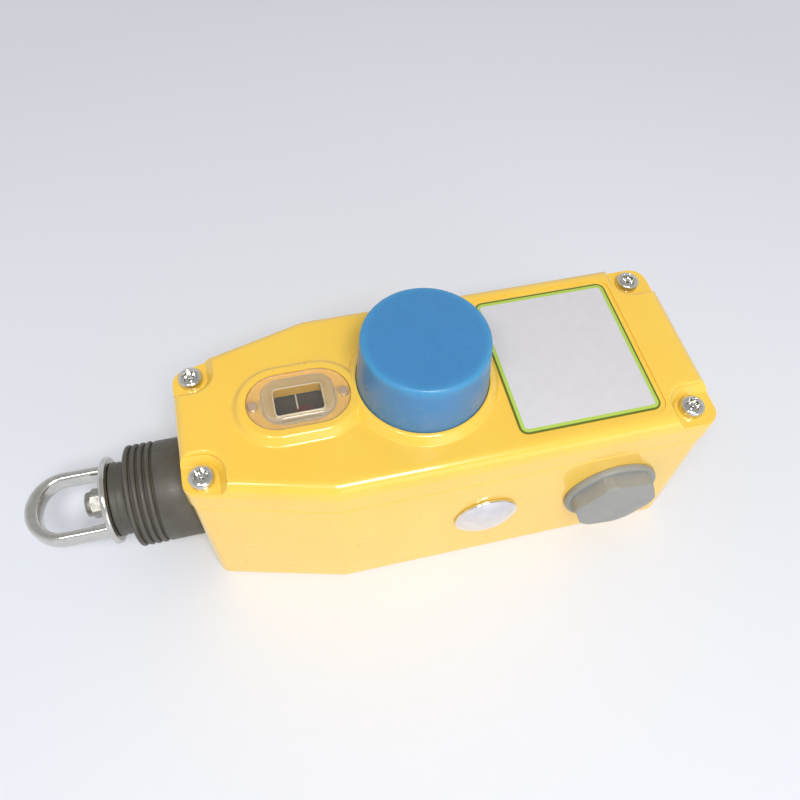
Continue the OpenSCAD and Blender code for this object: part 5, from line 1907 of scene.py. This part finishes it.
@dataclass(frozen=True)
class Studio:
    """Pale floor, soft lamps and the camera."""

    position: Point = (-44.50, -118.58, 246.85)
    forward: Point = (0.1481, 0.5200, -0.8412)
    right: Point = (0.9722, -0.2325, 0.0274)
    lens: float = 34.36
    floor_colour: str = "#EDF0F8"
    wall_colour: str = "#E6E8EC"
    ceiling_colour: str = "#B4B5B6"
    floor_half: float = 3.0
    floor_z: float = -0.15
    ambient: float = 0.42
    fade: Flat = (0.32, 0.9)

    def floor(self) -> None:
        """Large plain floor just under the part, which melts into the wall far away."""
        half, low = self.floor_half / MM, self.floor_z
        floor = from_faces("floor", [(-half, -half, low), (half, -half, low), (half, half, low),
                                     (-half, half, low)], [[0, 1, 2, 3]])
        material = bpy.data.materials.new("matt_pale_board")
        material.use_nodes = True
        tree = material.node_tree
        board = tree.nodes["Principled BSDF"]
        feed(tree, board, {"Base Color": linear(self.floor_colour), "Roughness": 0.85,
                           "Specular IOR Level": 0.2})
        place = add_node(tree, "ShaderNodeTexCoord").outputs["Object"]
        far = spread(tree, length_of(tree, place), 0.0, 1.0, *self.fade)
        seen = add_node(tree, "ShaderNodeLightPath").outputs["Is Camera Ray"]
        wall = add_node(tree, "ShaderNodeEmission", inputs={"Color": linear(self.wall_colour)})
        melted = mix_shaders(tree, calc(tree, "MULTIPLY", far, seen), board, wall)
        feed(tree, tree.nodes["Material Output"], {"Surface": melted})
        floor.data.materials.append(material)

    def world(self) -> None:
        """Surroundings: plain light on the part; mirrors and glass see a grey ceiling over a white room."""
        world = bpy.data.worlds.new("studio")
        world.use_nodes = True
        bpy.context.scene.world = world
        tree = world.node_tree
        tree.nodes.clear()
        path = add_node(tree, "ShaderNodeLightPath").outputs
        mirror = calc(tree, "MAXIMUM", path["Is Glossy Ray"], path["Is Transmission Ray"])
        seen = calc(tree, "MAXIMUM", mirror, path["Is Camera Ray"])
        way = add_node(tree, "ShaderNodeTexCoord").outputs["Generated"]
        ceiling = spread(tree, part_of(tree, way, 2), 0.0, 1.0, 0.25, 0.85)
        room = blended(tree, ceiling, linear(self.wall_colour), linear(self.ceiling_colour))
        soft, bright = (add_node(tree, "ShaderNodeBackground", inputs={"Color": colour, "Strength": strength})
                        for colour, strength in ((linear("#FFFFFF"), self.ambient), (room, 1.0)))
        add_node(tree, "ShaderNodeOutputWorld", inputs={0: mix_shaders(tree, seen, soft, bright)})

    def lamp(self, name: str, place: Point, aim: Point, size: float, watts: float) -> None:
        """Adds one square softbox.

        Args:
            name: Name of the lamp.
            place: Where it stands, in metres.
            aim: What it points at, in metres.
            size: Length of its side in metres.
            watts: Its power.
        """
        data = bpy.data.lights.new(name, "AREA")
        data.shape = "SQUARE"
        data.size = size
        data.energy = watts
        lamp = bpy.data.objects.new(name, data)
        lamp.location = place
        lamp.rotation_euler = (Vector(aim) - Vector(place)).to_track_quat("-Z", "Y").to_euler()
        bpy.context.scene.collection.objects.link(lamp)

    def camera(self) -> None:
        """Sets the camera: above the front wall, turned to the rope end."""
        data = bpy.data.cameras.new("camera")
        data.lens = self.lens
        data.sensor_width = 36.0
        data.clip_start = 0.01
        data.clip_end = 20.0
        camera = bpy.data.objects.new("camera", data)
        across, along = Vector(self.right).normalized(), Vector(self.forward).normalized()
        up = across.cross(along).normalized()
        turn = Matrix((across, up, -along)).transposed().to_4x4()
        camera.matrix_world = Matrix.Translation(Vector(self.position) * MM) @ turn
        bpy.context.scene.collection.objects.link(camera)
        bpy.context.scene.camera = camera

    def build(self) -> None:
        """Builds the studio."""
        bpy.context.scene.view_settings.view_transform = "Standard"
        self.floor()
        self.world()
        self.lamp("key", (0.02, -0.46, 0.80), (0.0, 0.0, 0.03), 0.26, 4.15)
        self.lamp("second", (-0.34, -0.33, 0.78), (0.0, 0.0, 0.03), 0.14, 1.0)
        self.lamp("fill", (0.25, -0.9, 0.25), (0.0, 0.0, 0.03), 0.6, 1.3)
        self.camera()


def main() -> None:
    """Builds every sub-assembly on the frame."""
    logging.basicConfig(level=logging.INFO, format="%(name)s: %(message)s")
    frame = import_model()
    shop = Workshop(frame["nodes"], Palette())
    sizes = HousingSizes()
    points, coils = pattern_tree(), coil_tree()
    Base(shop, sizes).build()
    Lid(shop, sizes).build()
    LidScrews(shop, sizes).build(points)
    ResetButton(shop).build(coils)
    SightWindow(shop).build()
    Label(shop).build()
    Gaiter(shop).build()
    PullEye(shop).build()
    Plugs(shop, sizes).build()
    Mechanism(shop).build(coils)
    Studio().build()


if __name__ == "__main__":
    main()
